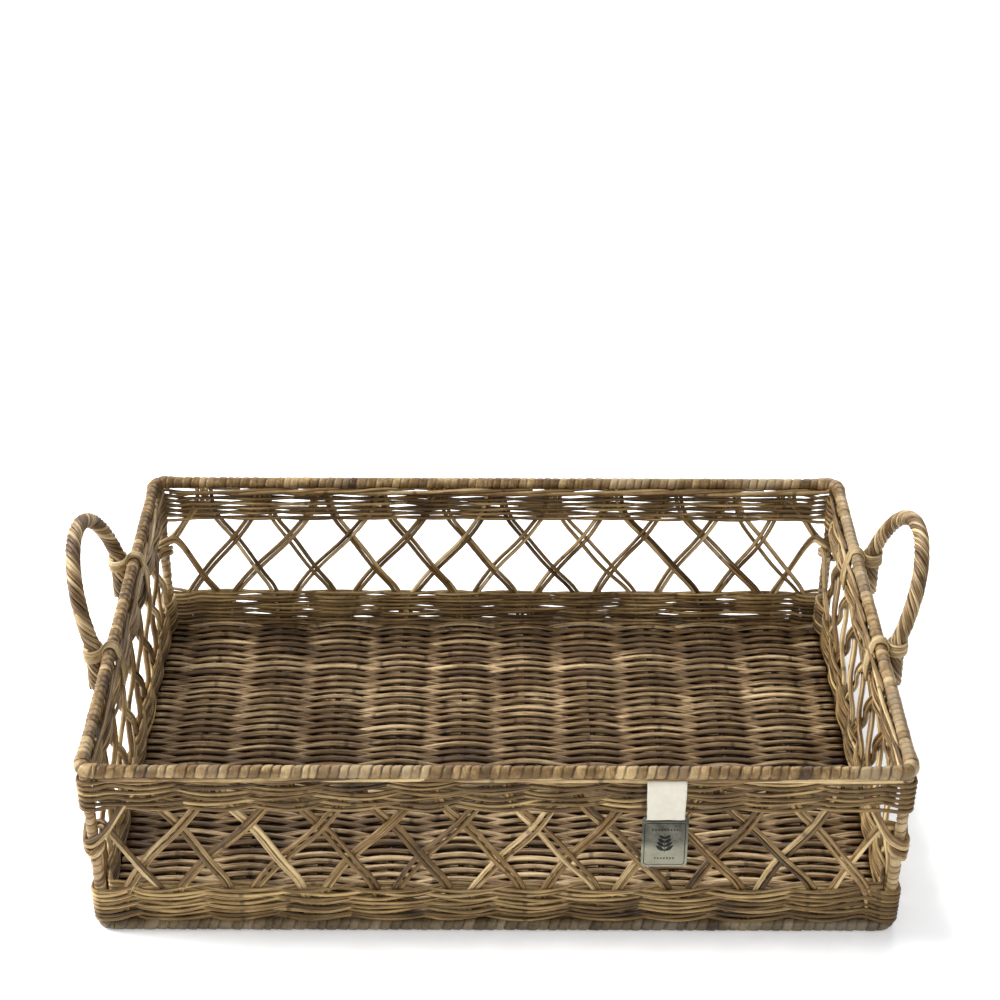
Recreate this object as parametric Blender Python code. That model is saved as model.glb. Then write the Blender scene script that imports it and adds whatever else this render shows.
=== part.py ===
"""Woven rattan serving tray with two rope handles and a hanging metal tag.

Frame: +Z up, X along the long side, Y across, origin at the middle of the
resting plane.  All lengths are metres.
"""
import math

import bmesh
import bpy
from mathutils import Vector

# ---------------------------------------------------------------- overall size
TRAY_LENGTH = 0.600
TRAY_WIDTH = 0.430
WALL_TOP = 0.150
FOOT_LENGTH = 0.592
FOOT_WIDTH = 0.422
GAP = 0.0003

# ---------------------------------------------------------------- bound poles
RIM_R = 0.0047
RIM_BORE_R = 0.0030
RIM_POLE_R = 0.0023
FRAME_R = 0.0045
FRAME_BORE_R = 0.0029
FRAME_POLE_R = 0.0022
CORNER_R = 0.0100
CORNER_STEPS = 3
CORNER_LEAD = 0.0010
SLEEVE_SIDES = 8
POLE_SIDES = 6

# ---------------------------------------------------------------- corner posts
POST_R = 0.0042
POST_BORE_R = 0.0029
POST_CORE_R = 0.0022
POST_X_LOW = 0.2890
POST_X_HIGH = 0.2925
POST_Y_LOW = 0.2040
POST_Y_HIGH = 0.2075

# ---------------------------------------------------------------- side lattice
WALL_Z_LOW = 2.0 * FRAME_R + GAP
WALL_Z_HIGH = WALL_TOP - 2.0 * RIM_R - GAP
STRAND_HALF_W = 0.0041
STRAND_HALF_T = 0.0016
STRAND_OFFSET = 0.0006
CROSS_Z_HIGH = 0.1205
CROSS_Z_LOW = 0.0339
LONG_TOP_PITCH = 0.0505
LONG_FOOT_PITCH = 0.0534
LONG_COLUMNS = 11
SHORT_TOP_PITCH = 0.0488
SHORT_FOOT_PITCH = 0.0515
SHORT_COLUMNS = 8
POST_CLEARANCE = 0.0105

# ---------------------------------------------------------------- woven bands
ROW_HALF_T = 0.0014
UPPER_ROW_HALF_H = 0.00455
LOWER_ROW_HALF_H = 0.0034
ROW_SWING = STRAND_HALF_T + STRAND_OFFSET + GAP + ROW_HALF_T
STRAND_SLOPE = 0.94
STRAND_REACH = 0.0096
ROW_CORNER_OUT = POST_R + GAP + ROW_HALF_T + 0.0001
UPPER_ROWS_Z = (0.11585, 0.12565, 0.13545)
LOWER_ROWS_Z = (0.0172, 0.0243, 0.0314, 0.0385)

# ---------------------------------------------------------------- woven base
BASE_MID_Z = 0.0071
BASE_HALF_X = FOOT_LENGTH / 2.0 - 2.0 * FRAME_R - GAP
BASE_HALF_Y = 0.2012
BASE_HIGH = 0.0064
BASE_LOW = 0.0034
BASE_EDGE = 0.0020
BASE_ROWS = 64
RIB_COUNT = 10
RIB_PITCH = 0.0534
RIB_R = 0.0022
RIB_TUNNEL_R = RIB_R + 0.0004

# ---------------------------------------------------------------- rope handles
ROPE_R = 0.0060
ROPE_LOBE = 0.0005
ROPE_STRANDS = 8
ROPE_TURNS = 4.0
HANDLE_X = TRAY_LENGTH / 2.0 + 0.0088
HANDLE_HALF_W = 0.067
HANDLE_RISE = 0.063
HANDLE_FOOT_Z = 0.112
HANDLES = (("left", -1.0, 17.0, 0.012), ("right", 1.0, 20.0, 0.022))
COLLAR_R = 0.0081
COLLAR_BORE_R = 0.0069
COLLAR_HALF_H = 0.0060
COLLAR_Z = 0.1435
LASH_CANES = 4
LASH_HALF_W = 0.0080
LASH_HALF_T = 0.0009

# ---------------------------------------------------------------- hanging tag
TAG_X = 0.1206
TAG_AXIS_Z = 0.1100
TAG_AXIS_Y = -0.2155
PLATE_HALF_W = 0.0166
PLATE_HALF_T = 0.0006
PLATE_ABOVE = 0.0010
PLATE_BELOW = 0.0440
PLATE_CORNER_R = 0.0030
SLOT_HALF_W = 0.0146
SLOT_DEPTH = 0.0024
TAB_HALF_W = 0.0140
TAB_LAYER = 0.0006
TAB_LOOP_R = 0.0015
TAB_TOP_Z = 0.1400

# ---------------------------------------------------------------- colours
CANE = (0.42, 0.30, 0.16, 1.0)
PEEL = (0.50, 0.40, 0.25, 1.0)
DARK_CANE = (0.24, 0.17, 0.10, 1.0)
STRAW = (0.62, 0.52, 0.34, 1.0)
CREAM = (0.80, 0.76, 0.66, 1.0)
PEWTER = (0.42, 0.41, 0.39, 1.0)


def clear_scene():
    """Remove everything from the start-up scene."""
    for old in list(bpy.data.objects):
        bpy.data.objects.remove(old, do_unlink=True)


def material(name, colour, metallic, roughness):
    """Make one plain Principled BSDF material."""
    mat = bpy.data.materials.new(name)
    mat.use_nodes = True
    shader = mat.node_tree.nodes["Principled BSDF"]
    shader.inputs["Base Color"].default_value = colour
    shader.inputs["Metallic"].default_value = metallic
    shader.inputs["Roughness"].default_value = roughness
    return mat


def add_object(name, mesh, colour, metallic=0.0, roughness=0.7):
    """Link a finished mesh as one named sub-part with its own material."""
    obj = bpy.data.objects.new(name, mesh)
    bpy.context.scene.collection.objects.link(obj)
    mesh.materials.append(material("mat_" + name, colour, metallic, roughness))
    return obj


def mesh_from(name, verts, faces, smooth=False):
    """Build a mesh from lists, facing outward."""
    mesh = bpy.data.meshes.new(name)
    mesh.from_pydata([tuple(v) for v in verts], [], faces)
    bm = bmesh.new()
    bm.from_mesh(mesh)
    bmesh.ops.recalc_face_normals(bm, faces=bm.faces)
    bm.to_mesh(mesh)
    bm.free()
    for poly in mesh.polygons:
        poly.use_smooth = smooth and len(poly.vertices) == 4
    return mesh


def boolean(name, base, others, operation):
    """Return one mesh: base combined with the other meshes."""
    scene = bpy.context.scene.collection
    group = bpy.data.collections.new(name + "_cutters")
    scene.children.link(group)
    target = bpy.data.objects.new(name + "_base", base)
    scene.objects.link(target)
    cutters = []
    for index, mesh in enumerate(others):
        cutter = bpy.data.objects.new("%s_cutter_%d" % (name, index), mesh)
        cutter.hide_render = True
        cutter.display_type = "WIRE"
        group.objects.link(cutter)
        cutters.append(cutter)
    mod = target.modifiers.new("combine", "BOOLEAN")
    mod.operation = operation
    mod.solver = "EXACT"
    mod.operand_type = "COLLECTION"
    mod.collection = group
    bpy.context.view_layer.update()
    graph = bpy.context.evaluated_depsgraph_get()
    result = bpy.data.meshes.new_from_object(target.evaluated_get(graph))
    result.name = name
    for old in cutters + [target]:
        bpy.data.objects.remove(old, do_unlink=True)
    bpy.data.collections.remove(group)
    return result


def circle(sides, radius, phase=0.0):
    """Points of a regular polygon whose flats lie at the given radius."""
    corner = radius / math.cos(math.pi / sides)
    points = []
    for i in range(sides):
        angle = phase + 2.0 * math.pi * (i + 0.5) / sides
        points.append((corner * math.cos(angle), corner * math.sin(angle)))
    return points


def path_frames(path, closed, up):
    """Side and up directions square to the path at every point."""
    frames = []
    count = len(path)
    for i, point in enumerate(path):
        before = path[(i - 1) % count] if closed or i > 0 else point
        after = path[(i + 1) % count] if closed or i < count - 1 else point
        arrive = (point - before).normalized() if (point - before).length else None
        leave = (after - point).normalized() if (after - point).length else None
        if arrive is None:
            arrive = leave
        if leave is None:
            leave = arrive
        tangent = (arrive + leave).normalized()
        side = tangent.cross(up).normalized()
        lift = side.cross(tangent).normalized()
        stretch = 1.0 / max(0.3, arrive.dot(tangent))
        frames.append((side, lift, stretch))
    return frames


def sweep(path, section, up, closed=False, smooth=True, bore=None, name="sweep"):
    """Carry a section along a path; a bore section makes an open tube."""
    frames = path_frames(path, closed, up)
    verts = []
    rings = [section] if bore is None else [section, bore]
    for ring in rings:
        for point, (side, lift, stretch) in zip(path, frames):
            for a, b in ring:
                verts.append(point + side * a * stretch + lift * b)
    faces = []
    count = len(path)
    sides = len(section)
    spans = count if closed else count - 1
    for layer in range(len(rings)):
        first = layer * count * sides
        for i in range(spans):
            j = (i + 1) % count
            for k in range(sides):
                m = (k + 1) % sides
                quad = (i * sides + k, i * sides + m, j * sides + m, j * sides + k)
                faces.append(tuple(first + q for q in quad))
    if not closed and bore is None:
        faces.append(tuple(range(sides)))
        faces.append(tuple((count - 1) * sides + k for k in range(sides)))
    if not closed and bore is not None:
        inner = count * sides
        for start in (0, (count - 1) * sides):
            for k in range(sides):
                m = (k + 1) % sides
                a = start + k
                b = start + m
                faces.append((a, b, inner + b, inner + a))
    return mesh_from(name, verts, faces, smooth)


def box_mesh(low, high, name="box"):
    """A closed box between two corners."""
    verts = []
    for x in (low[0], high[0]):
        for y in (low[1], high[1]):
            for z in (low[2], high[2]):
                verts.append((x, y, z))
    faces = [
        (0, 1, 3, 2),
        (4, 6, 7, 5),
        (0, 4, 5, 1),
        (2, 3, 7, 6),
        (0, 2, 6, 4),
        (1, 5, 7, 3),
    ]
    return mesh_from(name, verts, faces)


# ------------------------------------------------------------ rim and foot frame
def corner_arc(half_x, half_y, z, sx, sy):
    """Centre-line points of one rounded corner, from the X side to the Y side."""
    points = []
    for i in range(CORNER_STEPS + 1):
        angle = 0.5 * math.pi * i / CORNER_STEPS
        x = half_x - CORNER_R + CORNER_R * math.sin(angle)
        y = half_y - CORNER_R + CORNER_R * math.cos(angle)
        points.append(Vector((sx * x, sy * y, z)))
    return points


def corner_lead(half_x, half_y, z, sx, sy, on_x_side):
    """Point a little way along the straight run next to a rounded corner."""
    if on_x_side:
        return Vector((sx * half_x, sy * (half_y - CORNER_R - CORNER_LEAD), z))
    return Vector((sx * (half_x - CORNER_R - CORNER_LEAD), sy * half_y, z))


def ring_path(half_x, half_y, z):
    """Closed rounded-rectangle centre line, counter-clockwise from above."""
    path = []
    path += corner_arc(half_x, half_y, z, 1, -1)
    path += reversed(corner_arc(half_x, half_y, z, 1, 1))
    path += corner_arc(half_x, half_y, z, -1, 1)
    path += reversed(corner_arc(half_x, half_y, z, -1, -1))
    return path


def build_ring_pole(name, half_x, half_y, z, radius):
    """The bare pole that runs all the way round inside its binding."""
    path = ring_path(half_x, half_y, z)
    section = circle(POLE_SIDES, radius)
    mesh = sweep(path, section, Vector((0, 0, 1)), closed=True, name=name)
    add_object(name, mesh, DARK_CANE)


def build_sleeve(name, path, radius, bore_radius):
    """A binding of flat peel wound over a length of pole."""
    outer = circle(SLEEVE_SIDES, radius)
    inner = circle(SLEEVE_SIDES, bore_radius)
    mesh = sweep(path, outer, Vector((0, 0, 1)), bore=inner, name=name)
    add_object(name, mesh, PEEL)


def straight_side(half_x, half_y, z, side, trim):
    """Two end points of a straight run between the rounded corners."""
    run_x = half_x - CORNER_R - trim
    run_y = half_y - CORNER_R - trim
    ends = {
        "front": ((-run_x, -half_y, z), (run_x, -half_y, z)),
        "back": ((run_x, half_y, z), (-run_x, half_y, z)),
        "right": ((half_x, -run_y, z), (half_x, run_y, z)),
        "left": ((-half_x, run_y, z), (-half_x, -run_y, z)),
    }
    return [Vector(p) for p in ends[side]]


def build_rim():
    """Top pole, four straight bindings and four bound corners."""
    half_x = TRAY_LENGTH / 2.0 - RIM_R
    half_y = TRAY_WIDTH / 2.0 - RIM_R
    z = WALL_TOP - RIM_R
    build_ring_pole("rim_pole", half_x, half_y, z, RIM_POLE_R)
    for side in ("front", "back", "left", "right"):
        path = straight_side(half_x, half_y, z, side, CORNER_LEAD + GAP)
        build_sleeve("rim_binding_" + side, path, RIM_R, RIM_BORE_R)
    for fb, sy in (("front", -1), ("back", 1)):
        for lr, sx in (("left", -1), ("right", 1)):
            arc = [corner_lead(half_x, half_y, z, sx, sy, False)]
            arc += corner_arc(half_x, half_y, z, sx, sy)
            arc.append(corner_lead(half_x, half_y, z, sx, sy, True))
            name = "rim_corner_%s_%s" % (fb, lr)
            build_sleeve(name, arc, RIM_R, RIM_BORE_R)


def build_foot_frame():
    """Bottom pole with its bindings; the long ones also wrap the corners."""
    half_x = FOOT_LENGTH / 2.0 - FRAME_R
    half_y = FOOT_WIDTH / 2.0 - FRAME_R
    z = FRAME_R
    build_ring_pole("foot_pole", half_x, half_y, z, FRAME_POLE_R)
    for fb, sy in (("front", -1), ("back", 1)):
        right = corner_arc(half_x, half_y, z, 1, sy)
        left = corner_arc(half_x, half_y, z, -1, sy)
        path = [corner_lead(half_x, half_y, z, -1, sy, True)]
        path += list(reversed(left)) + right
        path.append(corner_lead(half_x, half_y, z, 1, sy, True))
        build_sleeve("foot_binding_" + fb, path, FRAME_R, FRAME_BORE_R)
    for side in ("left", "right"):
        path = straight_side(half_x, half_y, z, side, CORNER_LEAD + GAP)
        build_sleeve("foot_binding_" + side, path, FRAME_R, FRAME_BORE_R)


def wall_fraction(z):
    """How far up the leaning wall a height lies, from 0 to 1."""
    return (z - WALL_Z_LOW) / (WALL_Z_HIGH - WALL_Z_LOW)


def post_xy(z):
    """Distance of the post centre from the tray centre at a height."""
    t = wall_fraction(z)
    x = POST_X_LOW + (POST_X_HIGH - POST_X_LOW) * t
    y = POST_Y_LOW + (POST_Y_HIGH - POST_Y_LOW) * t
    return x, y


def build_posts():
    """Four bound corner posts standing between the foot frame and the rim."""
    low = post_xy(WALL_Z_LOW)
    high = post_xy(WALL_Z_HIGH)
    for fb, sy in (("front", -1), ("back", 1)):
        for lr, sx in (("left", -1), ("right", 1)):
            path = [
                Vector((sx * low[0], sy * low[1], WALL_Z_LOW)),
                Vector((sx * high[0], sy * high[1], WALL_Z_HIGH)),
            ]
            where = "%s_%s" % (fb, lr)
            core = sweep(path, circle(POLE_SIDES, POST_CORE_R), Vector((0, 1, 0)))
            add_object("post_" + where, core, DARK_CANE)
            outer = circle(SLEEVE_SIDES, POST_R)
            inner = circle(SLEEVE_SIDES, POST_BORE_R)
            wrap = sweep(path, outer, Vector((0, 1, 0)), bore=inner)
            add_object("post_binding_" + where, wrap, PEEL)


# ------------------------------------------------------------ side walls
def wall_point(side, along, z, out):
    """World point on a wall: distance along it, height, offset outward."""
    x, y = post_xy(z)
    if side == "front":
        return Vector((along, -(y + out), z))
    if side == "back":
        return Vector((-along, y + out, z))
    if side == "right":
        return Vector((x + out, along, z))
    return Vector((-(x + out), -along, z))


def columns(side):
    """Stake positions along a wall at the top and at the foot."""
    long_side = side in ("front", "back")
    count = LONG_COLUMNS if long_side else SHORT_COLUMNS
    top_pitch = LONG_TOP_PITCH if long_side else SHORT_TOP_PITCH
    foot_pitch = LONG_FOOT_PITCH if long_side else SHORT_FOOT_PITCH
    limit = (POST_X_LOW if long_side else POST_Y_LOW) - POST_CLEARANCE
    tops = [(i + 0.5 - count / 2.0) * top_pitch for i in range(count)]
    feet = [(c - count / 2.0) * foot_pitch for c in range(count + 1)]
    feet[0] = -limit
    feet[-1] = limit
    return tops, feet, limit


def strand(side, start, end, out):
    """A straight pair of canes between two (along, height) points."""
    a = wall_point(side, start[0], start[1], out)
    b = wall_point(side, end[0], end[1], out)
    w = STRAND_HALF_W
    t = STRAND_HALF_T
    section = [(-w, -t), (-w, t), (w, t), (w, -t)]
    normal = wall_point(side, 0.0, 0.05, 1.0) - wall_point(side, 0.0, 0.05, 0.0)
    return sweep([a, b], section, normal, smooth=False)


def wall_strands(side):
    """All slanting pairs, heads and feet of one lattice wall."""
    tops, feet, limit = columns(side)
    pieces = []
    reach = 0.0020
    slope = 1.5 * (feet[2] - feet[1]) / (CROSS_Z_HIGH - CROSS_Z_LOW)
    for i, top in enumerate(tops):
        for way, out in ((1, STRAND_OFFSET), (-1, -STRAND_OFFSET)):
            target = i + 2 if way > 0 else i - 1
            start = (top - way * reach * slope, CROSS_Z_HIGH + reach)
            if 0 <= target <= len(feet) - 1:
                foot = feet[target]
                end = (foot + way * reach * slope * 0.3, CROSS_Z_LOW - reach)
                pieces.append(strand(side, start, end, out))
                continue
            drop = (limit - abs(top)) / slope
            turn_high = CROSS_Z_HIGH - drop
            turn_low = turn_high - 0.026
            pieces.append(strand(side, start, (way * limit, turn_high), out))
            link = strand(
                side,
                (way * limit, turn_high + 0.0045),
                (way * limit, turn_low - 0.0045),
                0.0001,
            )
            pieces.append(link)
            foot = feet[-2] if way > 0 else feet[1]
            end = (foot - way * reach * slope * 0.3, CROSS_Z_LOW - reach)
            pieces.append(strand(side, (way * limit, turn_low), end, -out))
    for top in tops:
        head = strand(side, (top, CROSS_Z_HIGH - 0.0050), (top, WALL_Z_HIGH), 0.0002)
        pieces.append(head)
    for foot in feet:
        leg = strand(side, (foot, WALL_Z_LOW), (foot, CROSS_Z_LOW + 0.0060), 0.0002)
        pieces.append(leg)
    return pieces


def build_walls():
    """One open diamond lattice per side."""
    for side in ("front", "back", "left", "right"):
        pieces = wall_strands(side)
        name = "lattice_" + side
        mesh = boolean(name, pieces[0], pieces[1:], "UNION")
        add_object(name, mesh, CANE)


def stake_half_width(z, at_foot):
    """How far the crossing strands spread to each side of a stake at a row."""
    if at_foot:
        away = z + LOWER_ROW_HALF_H - CROSS_Z_LOW
    else:
        away = max(CROSS_Z_HIGH - z + UPPER_ROW_HALF_H, 0.0050)
    return STRAND_REACH + STRAND_SLOPE * max(0.0, away) + GAP


def row_path(z, parity, at_foot):
    """Closed centre line of one woven row, in and out of the stakes."""
    path = []
    x_post, y_post = post_xy(z)
    flat = stake_half_width(z, at_foot)
    for side in ("front", "right", "back", "left"):
        tops, feet, limit = columns(side)
        stakes = feet[1:-1] if at_foot else tops
        half = x_post if side in ("front", "back") else y_post
        enter = limit - flat if at_foot else half - 0.0065
        turn = half + 0.0025
        path.append(wall_point(side, -turn, z, ROW_CORNER_OUT))
        path.append(wall_point(side, -enter, z, ROW_CORNER_OUT))
        for k, stake in enumerate(stakes):
            out = ROW_SWING if (k + parity) % 2 == 0 else -ROW_SWING
            path.append(wall_point(side, stake - flat, z, out))
            path.append(wall_point(side, stake + flat, z, out))
        path.append(wall_point(side, enter, z, ROW_CORNER_OUT))
        path.append(wall_point(side, turn, z, ROW_CORNER_OUT))
    return path


def build_bands():
    """The rows of doubled canes woven round the top and foot of the walls."""
    t = ROW_HALF_T
    for label, heights, h, at_foot in (
        ("upper", UPPER_ROWS_Z, UPPER_ROW_HALF_H, False),
        ("lower", LOWER_ROWS_Z, LOWER_ROW_HALF_H, True),
    ):
        section = [(-t, -h), (t, -h), (t, h), (-t, h)]
        for i, z in enumerate(heights):
            path = row_path(z, i, at_foot)
            name = "%s_band_row_%d" % (label, i + 1)
            mesh = sweep(path, section, Vector((0, 0, 1)), closed=True, smooth=False)
            add_object(name, mesh, CANE)


# ------------------------------------------------------------ woven base
def rib_positions():
    """Distances along X of the ribs that run from front to back."""
    return [(i - (RIB_COUNT - 1) / 2.0) * RIB_PITCH for i in range(RIB_COUNT)]


def base_end(y):
    """Half length of the mat at a distance from its middle, round at corners."""
    round_r = CORNER_R - FRAME_R - 2.0 * GAP
    past = abs(y) - (FOOT_WIDTH / 2.0 - FRAME_R - CORNER_R)
    if past <= 0.0:
        return BASE_HALF_X
    return BASE_HALF_X - round_r + math.sqrt(round_r**2 - past**2)


def build_base():
    """The woven mat, with a tunnel for every rib, and the ribs themselves."""
    ribs = rib_positions()
    xs = [-BASE_HALF_X] + ribs + [BASE_HALF_X]
    ys = [-BASE_HALF_Y]
    for row in range(BASE_ROWS):
        ys.append(BASE_HALF_Y * ((2.0 * row + 1.0) / BASE_ROWS - 1.0))
    ys.append(BASE_HALF_Y)
    verts = []
    for top in (True, False):
        for j, y in enumerate(ys):
            for i, x in enumerate(xs):
                sign = 1.0 if top else -1.0
                rise = sign * BASE_EDGE
                if 0 < i < len(xs) - 1:
                    over = (i + j) % 2 == 0
                    rise = sign * (BASE_HIGH if over == top else BASE_LOW)
                else:
                    x = math.copysign(base_end(y), x)
                verts.append((x, y, BASE_MID_Z + rise))
    nx = len(xs)
    ny = len(ys)
    faces = []
    for layer in range(2):
        base = layer * nx * ny
        for j in range(ny - 1):
            for i in range(nx - 1):
                a = base + j * nx + i
                b = a + 1
                c = a + nx + 1
                d = a + nx
                if (i + j) % 2 == 0:
                    faces.append((a, b, d))
                    faces.append((b, c, d))
                else:
                    faces.append((a, b, c))
                    faces.append((a, c, d))
    under = nx * ny
    for j in range(ny - 1):
        for i in (0, nx - 1):
            a = j * nx + i
            faces.append((a, a + nx, under + a + nx, under + a))
    for i in range(nx - 1):
        for j in (0, ny - 1):
            a = j * nx + i
            faces.append((a, a + 1, under + a + 1, under + a))
    mat = mesh_from("base_weave", verts, faces)
    tunnels = []
    reach = BASE_HALF_Y + 0.004
    for x in ribs:
        path = [Vector((x, -reach, BASE_MID_Z)), Vector((x, reach, BASE_MID_Z))]
        tunnels.append(sweep(path, circle(6, RIB_TUNNEL_R), Vector((0, 0, 1))))
    mesh = boolean("base_weave", mat, tunnels, "DIFFERENCE")
    add_object("base_weave", mesh, CANE)
    for number, x in enumerate(ribs):
        path = [
            Vector((x, -BASE_HALF_Y, BASE_MID_Z)),
            Vector((x, BASE_HALF_Y, BASE_MID_Z)),
        ]
        rib = sweep(path, circle(6, RIB_R), Vector((0, 0, 1)))
        add_object("base_rib_%02d" % (number + 1), rib, DARK_CANE)


# ------------------------------------------------------------ handles
def handle_path(sx, lean_deg, centre_y):
    """Centre line of a hoop: up one leg, over the arch and down the other."""
    lean = math.radians(lean_deg)
    path = []
    for z in (HANDLE_FOOT_Z, WALL_TOP - 0.016):
        path.append(Vector((sx * HANDLE_X, centre_y - HANDLE_HALF_W, z)))
    steps = 22
    for i in range(steps + 1):
        angle = math.pi * i / steps
        y = centre_y - HANDLE_HALF_W * math.cos(angle)
        s = HANDLE_RISE * math.sin(angle)
        x = HANDLE_X + s * math.sin(lean)
        path.append(Vector((sx * x, y, WALL_TOP + s * math.cos(lean))))
    for z in (WALL_TOP - 0.016, HANDLE_FOOT_Z):
        path.append(Vector((sx * HANDLE_X, centre_y + HANDLE_HALF_W, z)))
    return path


def build_rope(name, sx, lean_deg, centre_y):
    """A twisted rope of canes bent into the handle hoop."""
    path = handle_path(sx, lean_deg, centre_y)
    frames = path_frames(path, False, Vector((1, 0, 0)))
    lengths = [0.0]
    for a, b in zip(path, path[1:]):
        lengths.append(lengths[-1] + (b - a).length)
    verts = []
    sides = ROPE_STRANDS * 2
    for point, (side, lift, _), run in zip(path, frames, lengths):
        twist = 2.0 * math.pi * ROPE_TURNS * run / lengths[-1]
        for k in range(sides):
            angle = 2.0 * math.pi * k / sides + twist
            r = ROPE_R + (ROPE_LOBE if k % 2 == 0 else -ROPE_LOBE)
            verts.append(point + side * r * math.cos(angle) + lift * r * math.sin(angle))
    faces = [tuple(range(sides))]
    for i in range(len(path) - 1):
        for k in range(sides):
            m = (k + 1) % sides
            a = i * sides
            b = a + sides
            faces.append((a + k, a + m, b + m, b + k))
    faces.append(tuple((len(path) - 1) * sides + k for k in range(sides)))
    add_object(name, mesh_from(name, verts, faces, smooth=True), CANE)


def build_collar(name, sx, y):
    """Straw binding round one handle leg at the height of the rim."""
    path = []
    for z in (COLLAR_Z - COLLAR_HALF_H, COLLAR_Z + COLLAR_HALF_H):
        path.append(Vector((sx * HANDLE_X, y, z)))
    outer = circle(10, COLLAR_R)
    inner = circle(10, COLLAR_BORE_R)
    mesh = sweep(path, outer, Vector((0, 1, 0)), bore=inner)
    add_object(name, mesh, STRAW)


def build_lashing(name, sx, y):
    """Canes laid side by side over the rim and down the inside of the wall."""
    rim_x = TRAY_LENGTH / 2.0 - RIM_R
    clear = RIM_R + GAP + LASH_HALF_T
    inner_x = POST_X_HIGH - ROW_SWING - ROW_HALF_T - GAP - LASH_HALF_T
    corners = [
        (rim_x + 0.0038, WALL_TOP + GAP + LASH_HALF_T),
        (rim_x - clear * 0.45, WALL_TOP + GAP + LASH_HALF_T),
        (rim_x - clear * 1.02, WALL_TOP - RIM_R + clear * 0.45),
        (rim_x - clear * 1.02, WALL_TOP - RIM_R - 0.0015),
        (inner_x - 0.0003, WALL_TOP - 2.0 * RIM_R - 0.0010),
        (inner_x - 0.0009, 0.1170),
    ]
    path = [Vector((sx * x, y, z)) for x, z in corners]
    section = []
    step = 2.0 * LASH_HALF_W / (2 * LASH_CANES)
    for k in range(2 * LASH_CANES + 1):
        thick = LASH_HALF_T if k % 2 == 1 else LASH_HALF_T * 0.45
        section.append((-LASH_HALF_W + k * step, thick))
    section += [(a, -b) for a, b in reversed(section)]
    turned = [(b, a) for a, b in section]
    mesh = sweep(path, turned, Vector((0, 1, 0)), smooth=False)
    add_object(name, mesh, STRAW)


def build_handles():
    """Both hoops with their collars and lashings."""
    for label, sx, lean, centre_y in HANDLES:
        build_rope("handle_rope_" + label, sx, lean, centre_y)
        for end, sy in (("front", -1.0), ("back", 1.0)):
            y = centre_y + sy * HANDLE_HALF_W
            build_collar("handle_collar_%s_%s" % (label, end), sx, y)
            build_lashing("handle_lashing_%s_%s" % (label, end), sx, y)


# ------------------------------------------------------------ tag
def build_tab():
    """Folded ribbon: a flat loop that holds the bar of the tag."""
    r = TAB_LOOP_R
    t = TAB_LAYER
    inner = []
    outer = []
    for i in range(7):
        angle = math.pi * (1.0 + i / 6.0)
        inner.append((r * math.cos(angle), r * math.sin(angle)))
        outer.append(((r + t) * math.cos(angle), (r + t) * math.sin(angle)))
    top = TAB_TOP_Z - TAG_AXIS_Z
    inner += [(r, top * 0.5), (0.0006, top - 0.006), (0.0006, top - t)]
    inner += [(-0.0006, top - t), (-0.0006, top - 0.006), (-r, top * 0.5)]
    outer += [(r + t, top * 0.5), (0.0006 + t, top - 0.006), (0.0006 + t, top)]
    outer += [(-0.0006 - t, top), (-0.0006 - t, top - 0.006), (-r - t, top * 0.5)]
    verts = []
    for x in (TAG_X - TAB_HALF_W, TAG_X + TAB_HALF_W):
        for ring in (outer, inner):
            for y, z in ring:
                verts.append((x, TAG_AXIS_Y + y, TAG_AXIS_Z + z))
    n = len(outer)
    faces = []
    for k in range(n):
        m = (k + 1) % n
        faces.append((k, m, 2 * n + m, 2 * n + k))
        faces.append((n + k, n + m, 3 * n + m, 3 * n + k))
        faces.append((k, m, n + m, n + k))
        faces.append((2 * n + k, 2 * n + m, 3 * n + m, 3 * n + k))
    add_object("fabric_tab", mesh_from("fabric_tab", verts, faces), CREAM, 0.0, 0.9)


def build_plate():
    """The metal tag; its origin is the bar that hangs in the ribbon."""
    outline = []
    r = PLATE_CORNER_R
    w = PLATE_HALF_W
    for cx, cz, start in (
        (w - r, PLATE_ABOVE - r, 0.0),
        (-w + r, PLATE_ABOVE - r, 90.0),
        (-w + r, -PLATE_BELOW + r, 180.0),
        (w - r, -PLATE_BELOW + r, 270.0),
    ):
        for i in range(4):
            a = math.radians(start + 30.0 * i)
            outline.append((cx + r * math.cos(a), cz + r * math.sin(a)))
    verts = []
    n = len(outline)
    for y in (-PLATE_HALF_T, PLATE_HALF_T):
        for x, z in outline:
            verts.append((x, y, z))
    faces = [tuple(range(n)), tuple(range(n, 2 * n))]
    for k in range(n):
        m = (k + 1) % n
        faces.append((k, m, n + m, n + k))
    plate = mesh_from("tag_plate", verts, faces)
    slot = box_mesh(
        (-SLOT_HALF_W, -0.003, -PLATE_ABOVE - SLOT_DEPTH),
        (SLOT_HALF_W, 0.003, -PLATE_ABOVE),
    )
    mesh = boolean("tag_plate", plate, [slot], "DIFFERENCE")
    obj = add_object("tag_plate", mesh, PEWTER, 0.9, 0.35)
    obj.location = (TAG_X, TAG_AXIS_Y, TAG_AXIS_Z)


def main():
    """Build every sub-part."""
    clear_scene()
    build_rim()
    build_foot_frame()
    build_posts()
    build_walls()
    build_bands()
    build_base()
    build_handles()
    build_tab()
    build_plate()


main()
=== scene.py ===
"""Fine surfaces and finishes for a woven cane serving tray with two rope handles and a hanging name plate.

Every size is in metres. The tray stands on z = 0, its long sides run along X and its front faces -Y.
"""

import logging
import math
from dataclasses import dataclass, field
from enum import Enum
from typing import Any, Iterable

import bpy
import numpy as np
from mathutils import Matrix


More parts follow.
